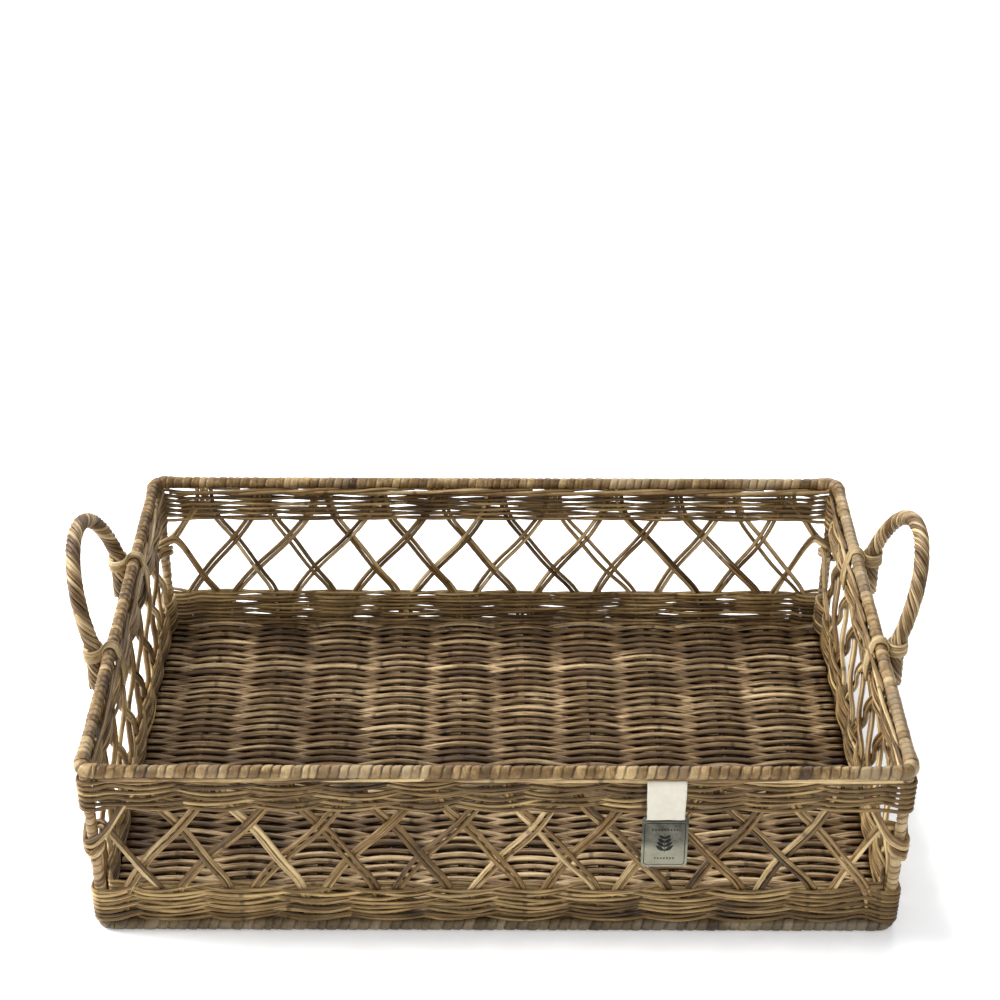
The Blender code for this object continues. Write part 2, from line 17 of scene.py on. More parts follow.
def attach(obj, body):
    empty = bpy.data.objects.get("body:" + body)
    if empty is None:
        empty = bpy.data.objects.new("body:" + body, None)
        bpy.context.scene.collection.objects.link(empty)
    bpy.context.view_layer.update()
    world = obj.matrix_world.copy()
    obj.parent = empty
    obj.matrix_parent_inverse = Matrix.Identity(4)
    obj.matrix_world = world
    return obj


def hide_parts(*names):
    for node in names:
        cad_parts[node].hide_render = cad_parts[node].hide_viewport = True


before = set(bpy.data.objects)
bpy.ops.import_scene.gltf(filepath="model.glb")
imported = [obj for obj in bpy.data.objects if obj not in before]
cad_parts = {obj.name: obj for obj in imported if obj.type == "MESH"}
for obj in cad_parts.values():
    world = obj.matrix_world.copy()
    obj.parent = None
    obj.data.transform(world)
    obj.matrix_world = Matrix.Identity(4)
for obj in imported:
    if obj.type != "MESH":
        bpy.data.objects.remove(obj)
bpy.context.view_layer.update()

UP = np.array([0.0, 0.0, 1.0])
FORWARD = np.array([0.0, -1.0, 0.0])
TURN = 2.0 * math.pi

log = logging.getLogger("cane_tray")


# ------------------------------------------------------------------ numbers along a path
def ease(low: float, high: float, value: np.ndarray) -> np.ndarray:
    """Smooth step: 0 below low, 1 above high, and 3t^2 - 2t^3 in between.

    Args:
        low: Value at which the step starts.
        high: Value at which the step ends.
        value: Where the step is read.

    Returns:
        The step, of value's shape.
    """
    t = np.clip((value - low) / (high - low), 0.0, 1.0)
    return t * t * (3.0 - 2.0 * t)


def soft_ramp(t: np.ndarray, bend: float) -> np.ndarray:
    """A ramp from 0 to 1 with rounded corners: the difference of two softplus curves.

    Args:
        t: Place along the ramp, 0 at its start and 1 at its end.
        bend: How sharp the corners are.

    Returns:
        The ramp's height.
    """
    return (np.logaddexp(0.0, bend * t) - np.logaddexp(0.0, bend * (t - 1.0))) / bend


def wander(rng: np.random.Generator, count: int, t: np.ndarray, waves: int) -> np.ndarray:
    """Slow natural waviness: a sum of sines of 1 to `waves` periods, each weaker than the last.

    Args:
        rng: Source of the phases and strengths.
        count: How many separate curves.
        t: Places from 0 to 1.
        waves: Number of sines.

    Returns:
        An array of (count, len(t)), about -1 to 1, the same at t = 0 and t = 1.
    """
    order = np.arange(1, waves + 1)
    phase = rng.uniform(0.0, TURN, (count, waves, 1))
    strength = rng.normal(0.0, 1.0, (count, waves, 1)) / np.sqrt(order)[None, :, None]
    angle = TURN * order[None, :, None] * t[None, None, :] + phase
    return (strength * np.sin(angle)).sum(1) / 2.2


def through(points: np.ndarray, steps: int) -> np.ndarray:
    """A smooth curve through points: Catmull-Rom cubics, each span a blend of four points in powers of t.

    Args:
        points: Points of (..., n, 3).
        steps: How many points of the curve in each span.

    Returns:
        The curve, (..., (n - 1) * steps + 1, 3).
    """
    first = 2.0 * points[..., :1, :] - points[..., 1:2, :]
    last = 2.0 * points[..., -1:, :] - points[..., -2:-1, :]
    p = np.concatenate([first, points, last], axis=-2)
    t = (np.arange(steps) / steps)[:, None]
    a, b, c, d = (p[..., k:k + points.shape[-2] - 1, None, :] for k in range(4))
    spans = 0.5 * (2 * b + (c - a) * t + (2 * a - 5 * b + 4 * c - d) * t**2 + (3 * b - a - 3 * c + d) * t**3)
    joined = spans.reshape(*points.shape[:-2], -1, 3)
    return np.concatenate([joined, points[..., -1:, :]], axis=-2)


def distance_along(path: np.ndarray) -> np.ndarray:
    """How far along a path of (n, 3) each of its points is."""
    return np.concatenate([[0.0], np.linalg.norm(np.diff(path, axis=0), axis=-1).cumsum()])


# ------------------------------------------------------------------ meshes
@dataclass
class Skin:
    """Gathers tubes and sheets of points into one mesh with two attributes.

    "flow" is (distance along the cane, cosine, sine of the angle round it), and "strand" is
    (tint from -1 to 1, seam from 0 to 1, a number of its own).
    """

    points: list[np.ndarray] = field(default_factory=list)
    faces: list[np.ndarray] = field(default_factory=list)
    flat: list[bool] = field(default_factory=list)
    flow: list[np.ndarray] = field(default_factory=list)
    strand: list[np.ndarray] = field(default_factory=list)
    size: int = 0

    def add(self, points: np.ndarray, flow: np.ndarray, strand: np.ndarray,
            faces: Iterable[tuple[np.ndarray, bool]]) -> None:
        """Adds points with their attributes and the faces between them.

        Args:
            points: Points of (..., 3).
            flow: The "flow" attribute, of the same shape.
            strand: The "strand" attribute, of the same shape.
            faces: Arrays of point numbers, each with whether its faces are flat.
        """
        self.points.append(points.reshape(-1, 3))
        self.flow.append(flow.reshape(-1, 3))
        self.strand.append(strand.reshape(-1, 3))
        for numbers, flat in faces:
            self.faces.append(numbers + self.size)
            self.flat.append(flat)
        self.size += self.points[-1].shape[0]

    def tubes(self, paths: np.ndarray, outward: np.ndarray, half_width: Any, half_thick: Any,
              tint: np.ndarray, sides: int = 8, closed: bool = False, seam: Any = 0.0,
              start_angle: float = 0.0) -> None:
        """Carries an ellipse along each path: point + side * w * cos(a) + lift * t * sin(a).

        Args:
            paths: Centre lines, (count, steps, 3).
            outward: The direction that lift leans to, one for all or one for each point.
            half_width: Half the width across, a number or an array that fits (count, steps, sides).
            half_thick: Half the thickness along lift, likewise.
            tint: One tint for each path, or an array that fits (count, steps, sides).
            sides: Points round the ellipse.
            closed: Whether each path runs back into its start.
            seam: The seam value, a number or an array that fits (count, steps, sides).
            start_angle: Angle of the first point round the ellipse.
        """
        count, steps = paths.shape[:2]
        if closed:
            ahead = np.roll(paths, -1, axis=1) - np.roll(paths, 1, axis=1)
        else:
            ahead = np.gradient(paths, axis=1)
        ahead /= np.linalg.norm(ahead, axis=-1, keepdims=True)
        side = np.cross(np.broadcast_to(outward, paths.shape), ahead)
        side /= np.linalg.norm(side, axis=-1, keepdims=True)
        lift = np.cross(ahead, side)
        angle = start_angle + TURN * np.arange(sides) / sides
        shape = (count, steps, sides)
        across = np.broadcast_to(half_width, shape) * np.cos(angle)
        above = np.broadcast_to(half_thick, shape) * np.sin(angle)
        points = (paths[:, :, None] + side[:, :, None] * across[..., None]
                  + lift[:, :, None] * above[..., None])
        run = np.zeros((count, steps))
        run[:, 1:] = np.linalg.norm(np.diff(paths, axis=1), axis=-1).cumsum(1)
        flow = np.stack([np.broadcast_to(run[..., None], shape),
                         np.broadcast_to(np.cos(angle), shape),
                         np.broadcast_to(np.sin(angle), shape)], axis=-1)
        tint = np.asarray(tint, float)
        tint = tint[:, None, None] if tint.ndim == 1 else tint
        number = (np.arange(count) * 0.731 + self.size * 0.0137)[:, None, None]
        strand = np.stack([np.broadcast_to(tint, shape), np.broadcast_to(seam, shape),
                           np.broadcast_to(number, shape)], axis=-1)
        grid = np.arange(count * steps * sides).reshape(shape)
        around = np.roll(grid, -1, axis=2)
        if closed:
            after, after_around = np.roll(grid, -1, axis=1), np.roll(around, -1, axis=1)
            wall = np.stack([grid, around, after_around, after], axis=-1)
            faces = [(wall.reshape(-1, 4), False)]
        else:
            wall = np.stack([grid[:, :-1], around[:, :-1], around[:, 1:], grid[:, 1:]], axis=-1)
            faces = [(wall.reshape(-1, 4), False), (grid[:, 0, ::-1], True), (grid[:, -1], True)]
        self.add(points, flow, strand, faces)

    def piece(self, name: str, finish: "Finish", body: str = "tray",
              nodes: Iterable[str] = ()) -> bpy.types.Object:
        """Makes the gathered mesh an object that rides on a body.

        Args:
            name: The piece's name.
            finish: What it is made of.
            body: The body it moves with.
            nodes: The plain solids that it stands for.

        Returns:
            The new object, at the origin.
        """
        mesh = bpy.data.meshes.new(name)
        points = np.concatenate(self.points)
        corners = np.concatenate([f.ravel() for f in self.faces])
        lengths = np.concatenate([np.full(len(f), f.shape[1]) for f in self.faces])
        flat = np.concatenate([np.full(len(f), s) for f, s in zip(self.faces, self.flat)])
        mesh.vertices.add(len(points))
        mesh.vertices.foreach_set("co", points.astype(np.float32).ravel())
        mesh.loops.add(len(corners))
        mesh.loops.foreach_set("vertex_index", corners.astype(np.int32))
        mesh.polygons.add(len(lengths))
        mesh.polygons.foreach_set("loop_start", (lengths.cumsum() - lengths).astype(np.int32))
        mesh.polygons.foreach_set("use_smooth", ~flat)
        mesh.update(calc_edges=True)
        for label, values in (("flow", self.flow), ("strand", self.strand)):
            attribute = mesh.attributes.new(label, "FLOAT_VECTOR", "POINT")
            attribute.data.foreach_set("vector", np.concatenate(values).astype(np.float32).ravel())
        mesh.materials.append(finish.material())
        obj = bpy.data.objects.new(name, mesh)
        bpy.context.scene.collection.objects.link(obj)
        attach(obj, body)
        nodes = list(nodes)
        if nodes:
            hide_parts(*nodes)
        log.info("%s: %d faces, stands for %d nodes", name, len(lengths), len(nodes))
        return obj


# ------------------------------------------------------------------ shader graphs
class Num:
    """A number socket; arithmetic on it adds Math nodes to its graph."""

    def __init__(self, graph: "Graph", socket: bpy.types.NodeSocket) -> None:
        """Wraps a socket of a graph."""
        self.graph = graph
        self.socket = socket

    def math(self, operation: str, *values: Any) -> "Num":
        """One Math node on the given values."""
        node = self.graph.node("ShaderNodeMath", {"operation": operation}, dict(enumerate(values)))
        return Num(self.graph, node.outputs[0])

    def __add__(self, other: Any) -> "Num":
        """Sum."""
        return self.math("ADD", self, other)

    __radd__ = __add__

    def __sub__(self, other: Any) -> "Num":
        """Difference."""
        return self.math("SUBTRACT", self, other)

    def __rsub__(self, other: Any) -> "Num":
        """Difference, reflected."""
        return self.math("SUBTRACT", other, self)

    def __mul__(self, other: Any) -> "Num":
        """Product."""
        return self.math("MULTIPLY", self, other)

    def __truediv__(self, other: Any) -> "Num":
        """Quotient."""
        return self.math("DIVIDE", self, other)

    def fraction(self) -> "Num":
        """What is left after the whole number."""
        return self.math("FRACT", self)

    def size(self) -> "Num":
        """Absolute value."""
        return self.math("ABSOLUTE", self)

    def step(self, low: float, high: float) -> "Num":
        """Smooth step from 0 at low to 1 at high; low may be the greater."""
        node = self.graph.node("ShaderNodeMapRange", {"interpolation_type": "SMOOTHSTEP", "clamp": True},
                               {0: self, 1: low, 2: high, 3: 0.0, 4: 1.0})
        return Num(self.graph, node.outputs[0])


class Graph:
    """A material's node tree, with its Principled shader and output in place."""

    def __init__(self, name: str) -> None:
        """Starts an empty material."""
        self.result = bpy.data.materials.new(name)
        self.result.use_nodes = True
        self.tree = self.result.node_tree
        self.tree.nodes.clear()
        self.shader = self.tree.nodes.new("ShaderNodeBsdfPrincipled")
        output = self.tree.nodes.new("ShaderNodeOutputMaterial")
        self.tree.links.new(self.shader.outputs[0], output.inputs["Surface"])

    def node(self, kind: str, settings: dict[str, Any] | None = None,
             values: dict[Any, Any] | None = None) -> bpy.types.Node:
        """Adds a node.

        Args:
            kind: Its type.
            settings: Its own settings, set first; "stops" are a ramp's (place, colour) pairs.
            values: Numbers, colours or links for its sockets, by name or place.

        Returns:
            The node.
        """
        made = self.tree.nodes.new(kind)
        for key, value in (settings or {}).items():
            if key == "stops":
                ramp = made.color_ramp
                while len(ramp.elements) < len(value):
                    ramp.elements.new(1.0)
                for element, (place, colour) in zip(ramp.elements, value):
                    element.position = place
                    element.color = colour
            else:
                setattr(made, key, value)
        for key, value in (values or {}).items():
            self.put(made.inputs[key], value)
        return made

    def put(self, socket: bpy.types.NodeSocket, value: Any) -> None:
        """Links or sets one socket.

        Args:
            socket: The socket.
            value: A number or a colour to set, or another socket to link.
        """
        value = value.socket if isinstance(value, Num) else value
        if isinstance(value, bpy.types.NodeSocket):
            self.tree.links.new(value, socket)
        else:
            socket.default_value = value

    def vector(self, operation: str, *values: Any) -> bpy.types.NodeSocket:
        """One Vector Math node on the given values."""
        node = self.node("ShaderNodeVectorMath", {"operation": operation}, dict(enumerate(values)))
        return node.outputs[0]

    def axes(self, vector: bpy.types.NodeSocket) -> list[Num]:
        """The three numbers of a vector."""
        parts = self.node("ShaderNodeSeparateXYZ", {}, {0: vector}).outputs
        return [Num(self, part) for part in parts]

    def attribute(self, name: str) -> tuple[bpy.types.NodeSocket, list[Num]]:
        """Reads a mesh attribute.

        Args:
            name: The attribute's name.

        Returns:
            Its vector and its three numbers.
        """
        vector = self.node("ShaderNodeAttribute", {"attribute_name": name}).outputs["Vector"]
        return vector, self.axes(vector)

    def place(self) -> bpy.types.NodeSocket:
        """The Object coordinates."""
        return self.node("ShaderNodeTexCoord").outputs["Object"]

    def noise(self, vector: Any, scale: float, detail: float = 2.0, rough: float = 0.5) -> Num:
        """Noise of about 0 to 1 at a vector.

        Args:
            vector: Where it is read.
            scale: How fine it is.
            detail: How many finer layers it has.
            rough: How strong they are.

        Returns:
            The noise.
        """
        node = self.node("ShaderNodeTexNoise", {}, {"Vector": vector, "Scale": scale, "Detail": detail,
                                                   "Roughness": rough})
        return Num(self, node.outputs["Fac"])

    def ramp(self, factor: Num, stops: list[tuple[float, tuple[float, ...]]]) -> bpy.types.NodeSocket:
        """A colour for each value of a number."""
        return self.node("ShaderNodeValToRGB", {"stops": stops}, {0: factor}).outputs[0]

    def mix(self, factor: Any, first: Any, second: Any) -> bpy.types.NodeSocket:
        """A blend of two colours."""
        node = self.node("ShaderNodeMix", {"data_type": "RGBA"}, {0: factor, 6: first, 7: second})
        return node.outputs[2]

    def bump(self, height: Num, strength: float, depth: float) -> None:
        """Feeds a height to the shader's normal."""
        node = self.node("ShaderNodeBump", {}, {"Height": height, "Strength": strength, "Distance": depth})
        self.put(self.shader.inputs["Normal"], node.outputs[0])

    def wear(self, **values: Any) -> None:
        """Puts values on the Principled shader; an underscore stands for a space."""
        for name, value in values.items():
            self.put(self.shader.inputs[name.replace("_", " ")], value)


def shade(red: int, green: int, blue: int) -> tuple[float, float, float, float]:
    """A display colour as linear light: c / 12.92 below 0.04045, else ((c + 0.055) / 1.055) ** 2.4.

    Args:
        red: From 0 to 255.
        green: From 0 to 255.
        blue: From 0 to 255.

    Returns:
        Linear red, green, blue and an alpha of 1.
    """
    parts = [c / 255.0 for c in (red, green, blue)]
    linear = [c / 12.92 if c <= 0.04045 else ((c + 0.055) / 1.055) ** 2.4 for c in parts]
    return (linear[0], linear[1], linear[2], 1.0)


# ------------------------------------------------------------------ finishes
@dataclass(frozen=True)
class Finish:
    """What a piece is made of; a subclass paints it, and each finish makes one material."""

    name: str
    slot: str

    def paint(self, graph: Graph) -> None:
        """Builds the finish in a graph."""
        raise NotImplementedError

    def material(self) -> bpy.types.Material:
        """Makes the finish's material when it is first asked for.

        Returns:
            The material, the same one each time.
        """
        found = bpy.data.materials.get("fine_" + self.name)
        if found is None:
            graph = Graph("fine_" + self.name)
            self.paint(graph)
            found = graph.result
        return found


@dataclass(frozen=True)
class CaneFinish(Finish):
    """Peeled cane: streaks along it, a tint of its own, knots, weathered blotches and dark specks.

    The painted shade is how far the flanks are painted darker, standing in for the shade between canes.
    A cane that lies flat is painted darker on all but its upper side, and any other on all but the sides that
    face out of and into the weave.
    """

    dark: tuple[float, ...]
    middle: tuple[float, ...]
    light: tuple[float, ...]
    weathered: tuple[float, ...]
    weathering: float = 0.45
    roughness: float = 0.46
    knot_pitch: float = 0.21
    painted_shade: float = 0.4
    lies_flat: bool = False

    def paint(self, graph: Graph) -> None:
        """Mixes the tints by noise along the cane and in space, and paints shade on the flanks.

        Args:
            graph: Where its nodes go.
        """
        flow, (run, _, above) = graph.attribute("flow")
        _, (tint, _, number) = graph.attribute("strand")
        own = graph.node("ShaderNodeCombineXYZ", {}, {0: number * 3.7, 1: number * 1.9, 2: number}).outputs[0]
        long_way = graph.vector("ADD", graph.vector("MULTIPLY", flow, (16.0, 1.3, 1.3)), own)
        fine_way = graph.vector("ADD", graph.vector("MULTIPLY", flow, (90.0, 5.0, 5.0)), own)
        streak = graph.noise(long_way, 1.0, 3.0, 0.6)
        grain = graph.noise(fine_way, 1.6, 2.0, 0.6)
        place = graph.place()
        blotch = graph.noise(place, 38.0, 3.0, 0.6)
        value = 0.5 + tint * 0.28 + (streak - 0.5) * 1.2 + (grain - 0.5) * 0.6 + (blotch - 0.5) * 0.6
        colour = graph.ramp(value, [(0.08, self.dark), (0.5, self.middle), (0.94, self.light)])
        greyed = graph.noise(graph.vector("ADD", place, (3.1, 1.7, 5.3)), 21.0, 3.0, 0.65).step(0.46, 0.68)
        colour = graph.mix(greyed * self.weathering, colour, self.weathered)
        to_knot = ((run / self.knot_pitch + number * 5.3).fraction() - 0.5).size() * self.knot_pitch
        knot = to_knot.step(0.0026, 0.0008)
        speck = graph.noise(fine_way, 5.0, 2.0, 0.7).step(0.63, 0.74)
        # Painted shade: the flanks are mixed towards the dark tint where neighbouring canes would shade them;
        # a flat cane keeps only its upper side light.
        painted_shade_mask = above.step(0.6, -0.5) if self.lies_flat else above.size().step(0.75, -0.1)
        colour = graph.mix(painted_shade_mask * self.painted_shade, colour, self.dark)
        dimmed = graph.mix(knot * 0.55, colour, self.dark)
        graph.wear(Base_Color=graph.mix(speck * 0.55, dimmed, self.dark),
                   Roughness=self.roughness + (grain - 0.5) * 0.3 + greyed * 0.12,
                   Specular_IOR_Level=0.32)
        graph.bump(grain + streak * 0.6 - knot * 0.8 + speck * 0.3, 0.55, 0.0003)


@dataclass(frozen=True)
class PeelFinish(Finish):
    """Flat peel wound round a pole: a tint for each turn, fibres along the peel and painted shade in the
    seams.
    """

    dark: tuple[float, ...]
    middle: tuple[float, ...]
    light: tuple[float, ...]
    bleached_and_lit: tuple[float, ...]
    bleaching_and_light: float = 0.5
    gap: tuple[float, ...] = shade(26, 14, 6)

    def paint(self, graph: Graph) -> None:
        """Mixes the tints by turn, fibre and noise, bleaches patches and paints the +X side paler as painted
        light, and paints shade into the seams.

        Args:
            graph: Where its nodes go.
        """
        flow, _ = graph.attribute("flow")
        _, (tint, seam, _) = graph.attribute("strand")
        place = graph.place()
        fibre = graph.noise(graph.vector("MULTIPLY", flow, (1500.0, 0.7, 0.7)), 1.0, 2.0, 0.6)
        patch = graph.noise(place, 45.0, 4.0, 0.65)
        value = 0.5 + tint * 0.24 + (fibre - 0.5) * 0.4 + (patch - 0.5) * 1.3
        colour = graph.ramp(value, [(0.1, self.dark), (0.5, self.middle), (0.9, self.light)])
        bleached_and_lit = graph.noise(graph.vector("ADD", place, (1.3, 4.1, 2.2)), 13.0, 3.0, 0.6)
        x, _, _ = graph.axes(place)
        # Painted light: the x term makes the +X side paler, where the key light from -X falls on the rim; the
        # noise patches are real bleaching.
        bleached_and_lit = (bleached_and_lit + tint * 0.05 + x * 0.22).step(0.5, 0.66) * self.bleaching_and_light
        colour = graph.mix(bleached_and_lit, colour, self.bleached_and_lit)
        mould = graph.noise(place, 210.0, 3.0, 0.7).step(0.6, 0.72)
        colour = graph.mix(mould * 0.6, colour, self.dark)
        # Painted shade: the grooves between turns are mixed towards a near-black colour.
        colour = graph.mix(seam * 0.95, colour, self.gap)
        graph.wear(Base_Color=colour, Roughness=0.46 + (fibre - 0.5) * 0.25 + seam * 0.3,
                   Specular_IOR_Level=0.35)
        graph.bump(fibre * 0.5 + patch * 0.4 - seam, 0.5, 0.0003)


@dataclass(frozen=True)
class PoleFinish(Finish):
    """Plain round wood of the hidden poles and the ribs, with rings of grain in space."""

    dark: tuple[float, ...]
    light: tuple[float, ...]

    def paint(self, graph: Graph) -> None:
        """Mixes two browns by long noise in space.

        Args:
            graph: Where its nodes go.
        """
        place = graph.place()
        grain = graph.noise(graph.vector("MULTIPLY", place, (60.0, 6.0, 60.0)), 6.0, 3.0, 0.6)
        graph.wear(Base_Color=graph.ramp(grain, [(0.3, self.dark), (0.7, self.light)]),
                   Roughness=0.55 + (grain - 0.5) * 0.3)
        graph.bump(grain, 0.3, 0.0003)


@dataclass(frozen=True)
class RibbonFinish(Finish):
    """Plain-woven cotton ribbon: crossing threads over and under, soft creases and a faint stain."""

    light: tuple[float, ...]
    shadow: tuple[float, ...]
    thread: float = 0.0007

    def paint(self, graph: Graph) -> None:
        """Crosses two sets of threads by the ribbon's own attribute.

        Args:
            graph: Where its nodes go.
        """
        _, (run, across, _) = graph.attribute("flow")
        warp = ((across / self.thread).fraction() - 0.5).size() * 2.0
        weft = ((run / self.thread).fraction() - 0.5).size() * 2.0
        weave = (warp - weft).size()
        stain = graph.noise(graph.place(), 90.0, 4.0, 0.6)
        colour = graph.ramp(weave * 0.3 + stain * 0.8, [(0.2, self.shadow), (0.75, self.light)])
        graph.wear(Base_Color=colour, Roughness=0.88 - weave * 0.08, Specular_IOR_Level=0.2,
                   Sheen_Weight=0.25)
        graph.bump(weave * 0.7 + stain * 0.6, 0.5, 0.0003)


@dataclass(frozen=True)
class PewterFinish(Finish):
    """Antiqued metal: brushed lines, dark tarnish in clouds and a painted reflection that brightens the lower
    part.
    """

    dark: tuple[float, ...]
    bright: tuple[float, ...]
    top: float = 0.110

    def paint(self, graph: Graph) -> None:
        """Mixes tarnish and metal by noise in space, with the part well below the top painted brighter as a
        painted reflection of the white floor.

        Args:
            graph: Where its nodes go.
        """
        place = graph.place()
        cloud = graph.noise(place, 70.0, 4.0, 0.6)
        brushed = graph.noise(graph.vector("MULTIPLY", place, (400.0, 400.0, 3200.0)), 1.0, 2.0, 0.6)
        _, _, height = graph.axes(place)
        # Painted reflection: the lower part is painted brighter, standing in for the white floor mirrored in
        # the plate.
        painted_reflection = (self.top - height).step(0.020, 0.030)
        value = cloud * 0.7 + brushed * 0.25 + painted_reflection * 0.35 - 0.1
        graph.wear(Base_Color=graph.ramp(value, [(0.25, self.dark), (0.75, self.bright)]), Metallic=0.85,
                   Roughness=0.36 + (cloud - 0.5) * 0.3 + (brushed - 0.5) * 0.2)
        graph.bump(brushed * 0.4 + cloud, 0.25, 0.0002)


@dataclass(frozen=True)
class PaperFinish(Finish):
    """The seamless white floor: a colour, a glow near and far, and painted shade under the tray that ends
    inside the foot.
    """

    near_glow: tuple[float, ...] = (0.98, 0.99, 1.0, 1.0)
    far_glow: tuple[float, ...] = (6.0, 6.0, 6.0, 1.0)
    no_glow: tuple[float, ...] = (0.0, 0.0, 0.0, 1.0)
    under_tray_shade: tuple[float, ...] = shade(38, 24, 14)
    under_tray_shade_x: tuple[float, float] = (0.2915, 0.2885)
    under_tray_shade_y: tuple[float, float] = (0.2065, 0.2035)

    def paint(self, graph: Graph) -> None:
        """A matt white that glows more far away, and painted shade below the middle of the tray: a dark patch
        without glow where the tray's shadow falls.

        Args:
            graph: Where its nodes go.
        """
        place = graph.place()
        cloud = graph.noise(place, 3.0, 2.0)
        white = graph.ramp(cloud, [(0.3, (0.94, 0.95, 0.96, 1)), (0.7, (0.96, 0.97, 0.98, 1))])
        x, y = (part.size() for part in graph.axes(place)[:2])
        # Painted shade: a dark, unlit patch under the tray stands in for its shadow, so the floor seen
        # through the weave is dark.
        under_tray_shade = x.step(*self.under_tray_shade_x) * y.step(*self.under_tray_shade_y)
        far = (x * x + y * y).step(2.5, 9.0)
        glow = graph.mix(far, self.near_glow, self.far_glow)
        graph.wear(Base_Color=graph.mix(under_tray_shade, white, self.under_tray_shade), Roughness=0.9,
                   Emission_Color=graph.mix(under_tray_shade, glow, self.no_glow), Emission_Strength=0.19)


def dress(node: str, finish: Finish) -> None:
    """Gives a plain solid a finish in place of its own.

    Args:
        node: The solid's name.
        finish: What it is made of.
    """
    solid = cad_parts[node]
    solid.data.materials.clear()
    solid.data.materials.append(finish.material())


# Each cane finish below paints shade on its flanks with its own strength; the base canes lie flat and keep
# only their upper side light.
LATTICE = CaneFinish("lattice_cane", "lattice_cane", shade(46, 29, 11), shade(126, 96, 54),
                     shade(218, 192, 142), shade(126, 106, 72), 0.3, painted_shade=0.35)
BAND = CaneFinish("band_cane", "band_cane", shade(36, 22, 8), shade(113, 86, 47),
                  shade(204, 174, 118), shade(104, 86, 56), 0.4, painted_shade=0.6)
BASE = CaneFinish("base_cane", "base_cane", shade(26, 13, 4), shade(99, 73, 41),
                  shade(214, 186, 142), shade(98, 79, 52), 0.4, knot_pitch=0.16, painted_shade=0.8, lies_flat=True)
ROPE = CaneFinish("rope_cane", "rope_cane", shade(42, 25, 10), shade(113, 86, 52),
                  shade(216, 190, 144), shade(130, 112, 82), 0.35, painted_shade=0.8)
STRAW = CaneFinish("straw", "straw", shade(92, 66, 30), shade(160, 134, 90),
                   shade(226, 206, 164), shade(158, 138, 104), 0.3, 0.4, painted_shade=0.3)
# The last number of each peel finish weights real bleached patches together with the painted light on the +X
# side.
PEEL_RIM = PeelFinish("peel_rim", "peel_rim", shade(52, 32, 11), shade(111, 84, 44),
                      shade(192, 164, 116), shade(174, 155, 122), 0.5)
PEEL_POST = PeelFinish("peel_post", "peel_post", shade(84, 58, 27), shade(146, 118, 78),
                       shade(212, 188, 146), shade(170, 150, 116), 0.3)
# The foot's peel is a darker copy of the rim's peel: painted shade, for the foot sits low in the tray's
# shadow.
PEEL_FOOT_SHADED = PeelFinish("peel_foot", "peel_foot", shade(50, 34, 16), shade(98, 82, 56),
                       shade(148, 132, 104), shade(124, 114, 98), 0.5)
POLE = PoleFinish("pole", "pole", shade(76, 52, 28), shade(128, 100, 64))
RIB = PoleFinish("base_rib", "base_rib", shade(30, 18, 8), shade(62, 42, 22))
RIBBON = RibbonFinish("ribbon", "ribbon", shade(222, 217, 202), shade(202, 195, 178))
PEWTER = PewterFinish("pewter", "pewter", shade(36, 37, 35), shade(142, 139, 122))
PEWTER_LINE = PewterFinish("pewter_line", "pewter", shade(14, 15, 16), shade(46, 46, 42))


# ------------------------------------------------------------------ the walls' shared geometry
class Side(Enum):
    """The four walls in turn: the direction along each, its outward direction, and its columns of stakes."""

    FRONT = ("front", (1.0, 0.0, 0.0), (0.0, -1.0, 0.0), 11, 0.0505, 0.0534)
    RIGHT = ("right", (0.0, 1.0, 0.0), (1.0, 0.0, 0.0), 8, 0.0488, 0.0515)
    BACK = ("back", (-1.0, 0.0, 0.0), (0.0, 1.0, 0.0), 11, 0.0505, 0.0534)
    LEFT = ("left", (0.0, -1.0, 0.0), (-1.0, 0.0, 0.0), 8, 0.0488, 0.0515)

    def __init__(self, label: str, along: tuple, out: tuple, columns: int, top: float, foot: float) -> None:
        """Keeps the wall's directions and pitches.

        Args:
            label: The name for its pieces.
            along: Direction along the wall.
            out: Direction outwards.
            columns: How many pairs of stakes leave the upper band.
            top: Distance between them under the upper band.
            foot: Distance between them above the lower band.
        """
        self.label = label
        self.along = np.array(along)
        self.out = np.array(out)
        self.columns = columns
        self.top_pitch = top
        self.foot_pitch = foot
        self.is_long = columns == 11


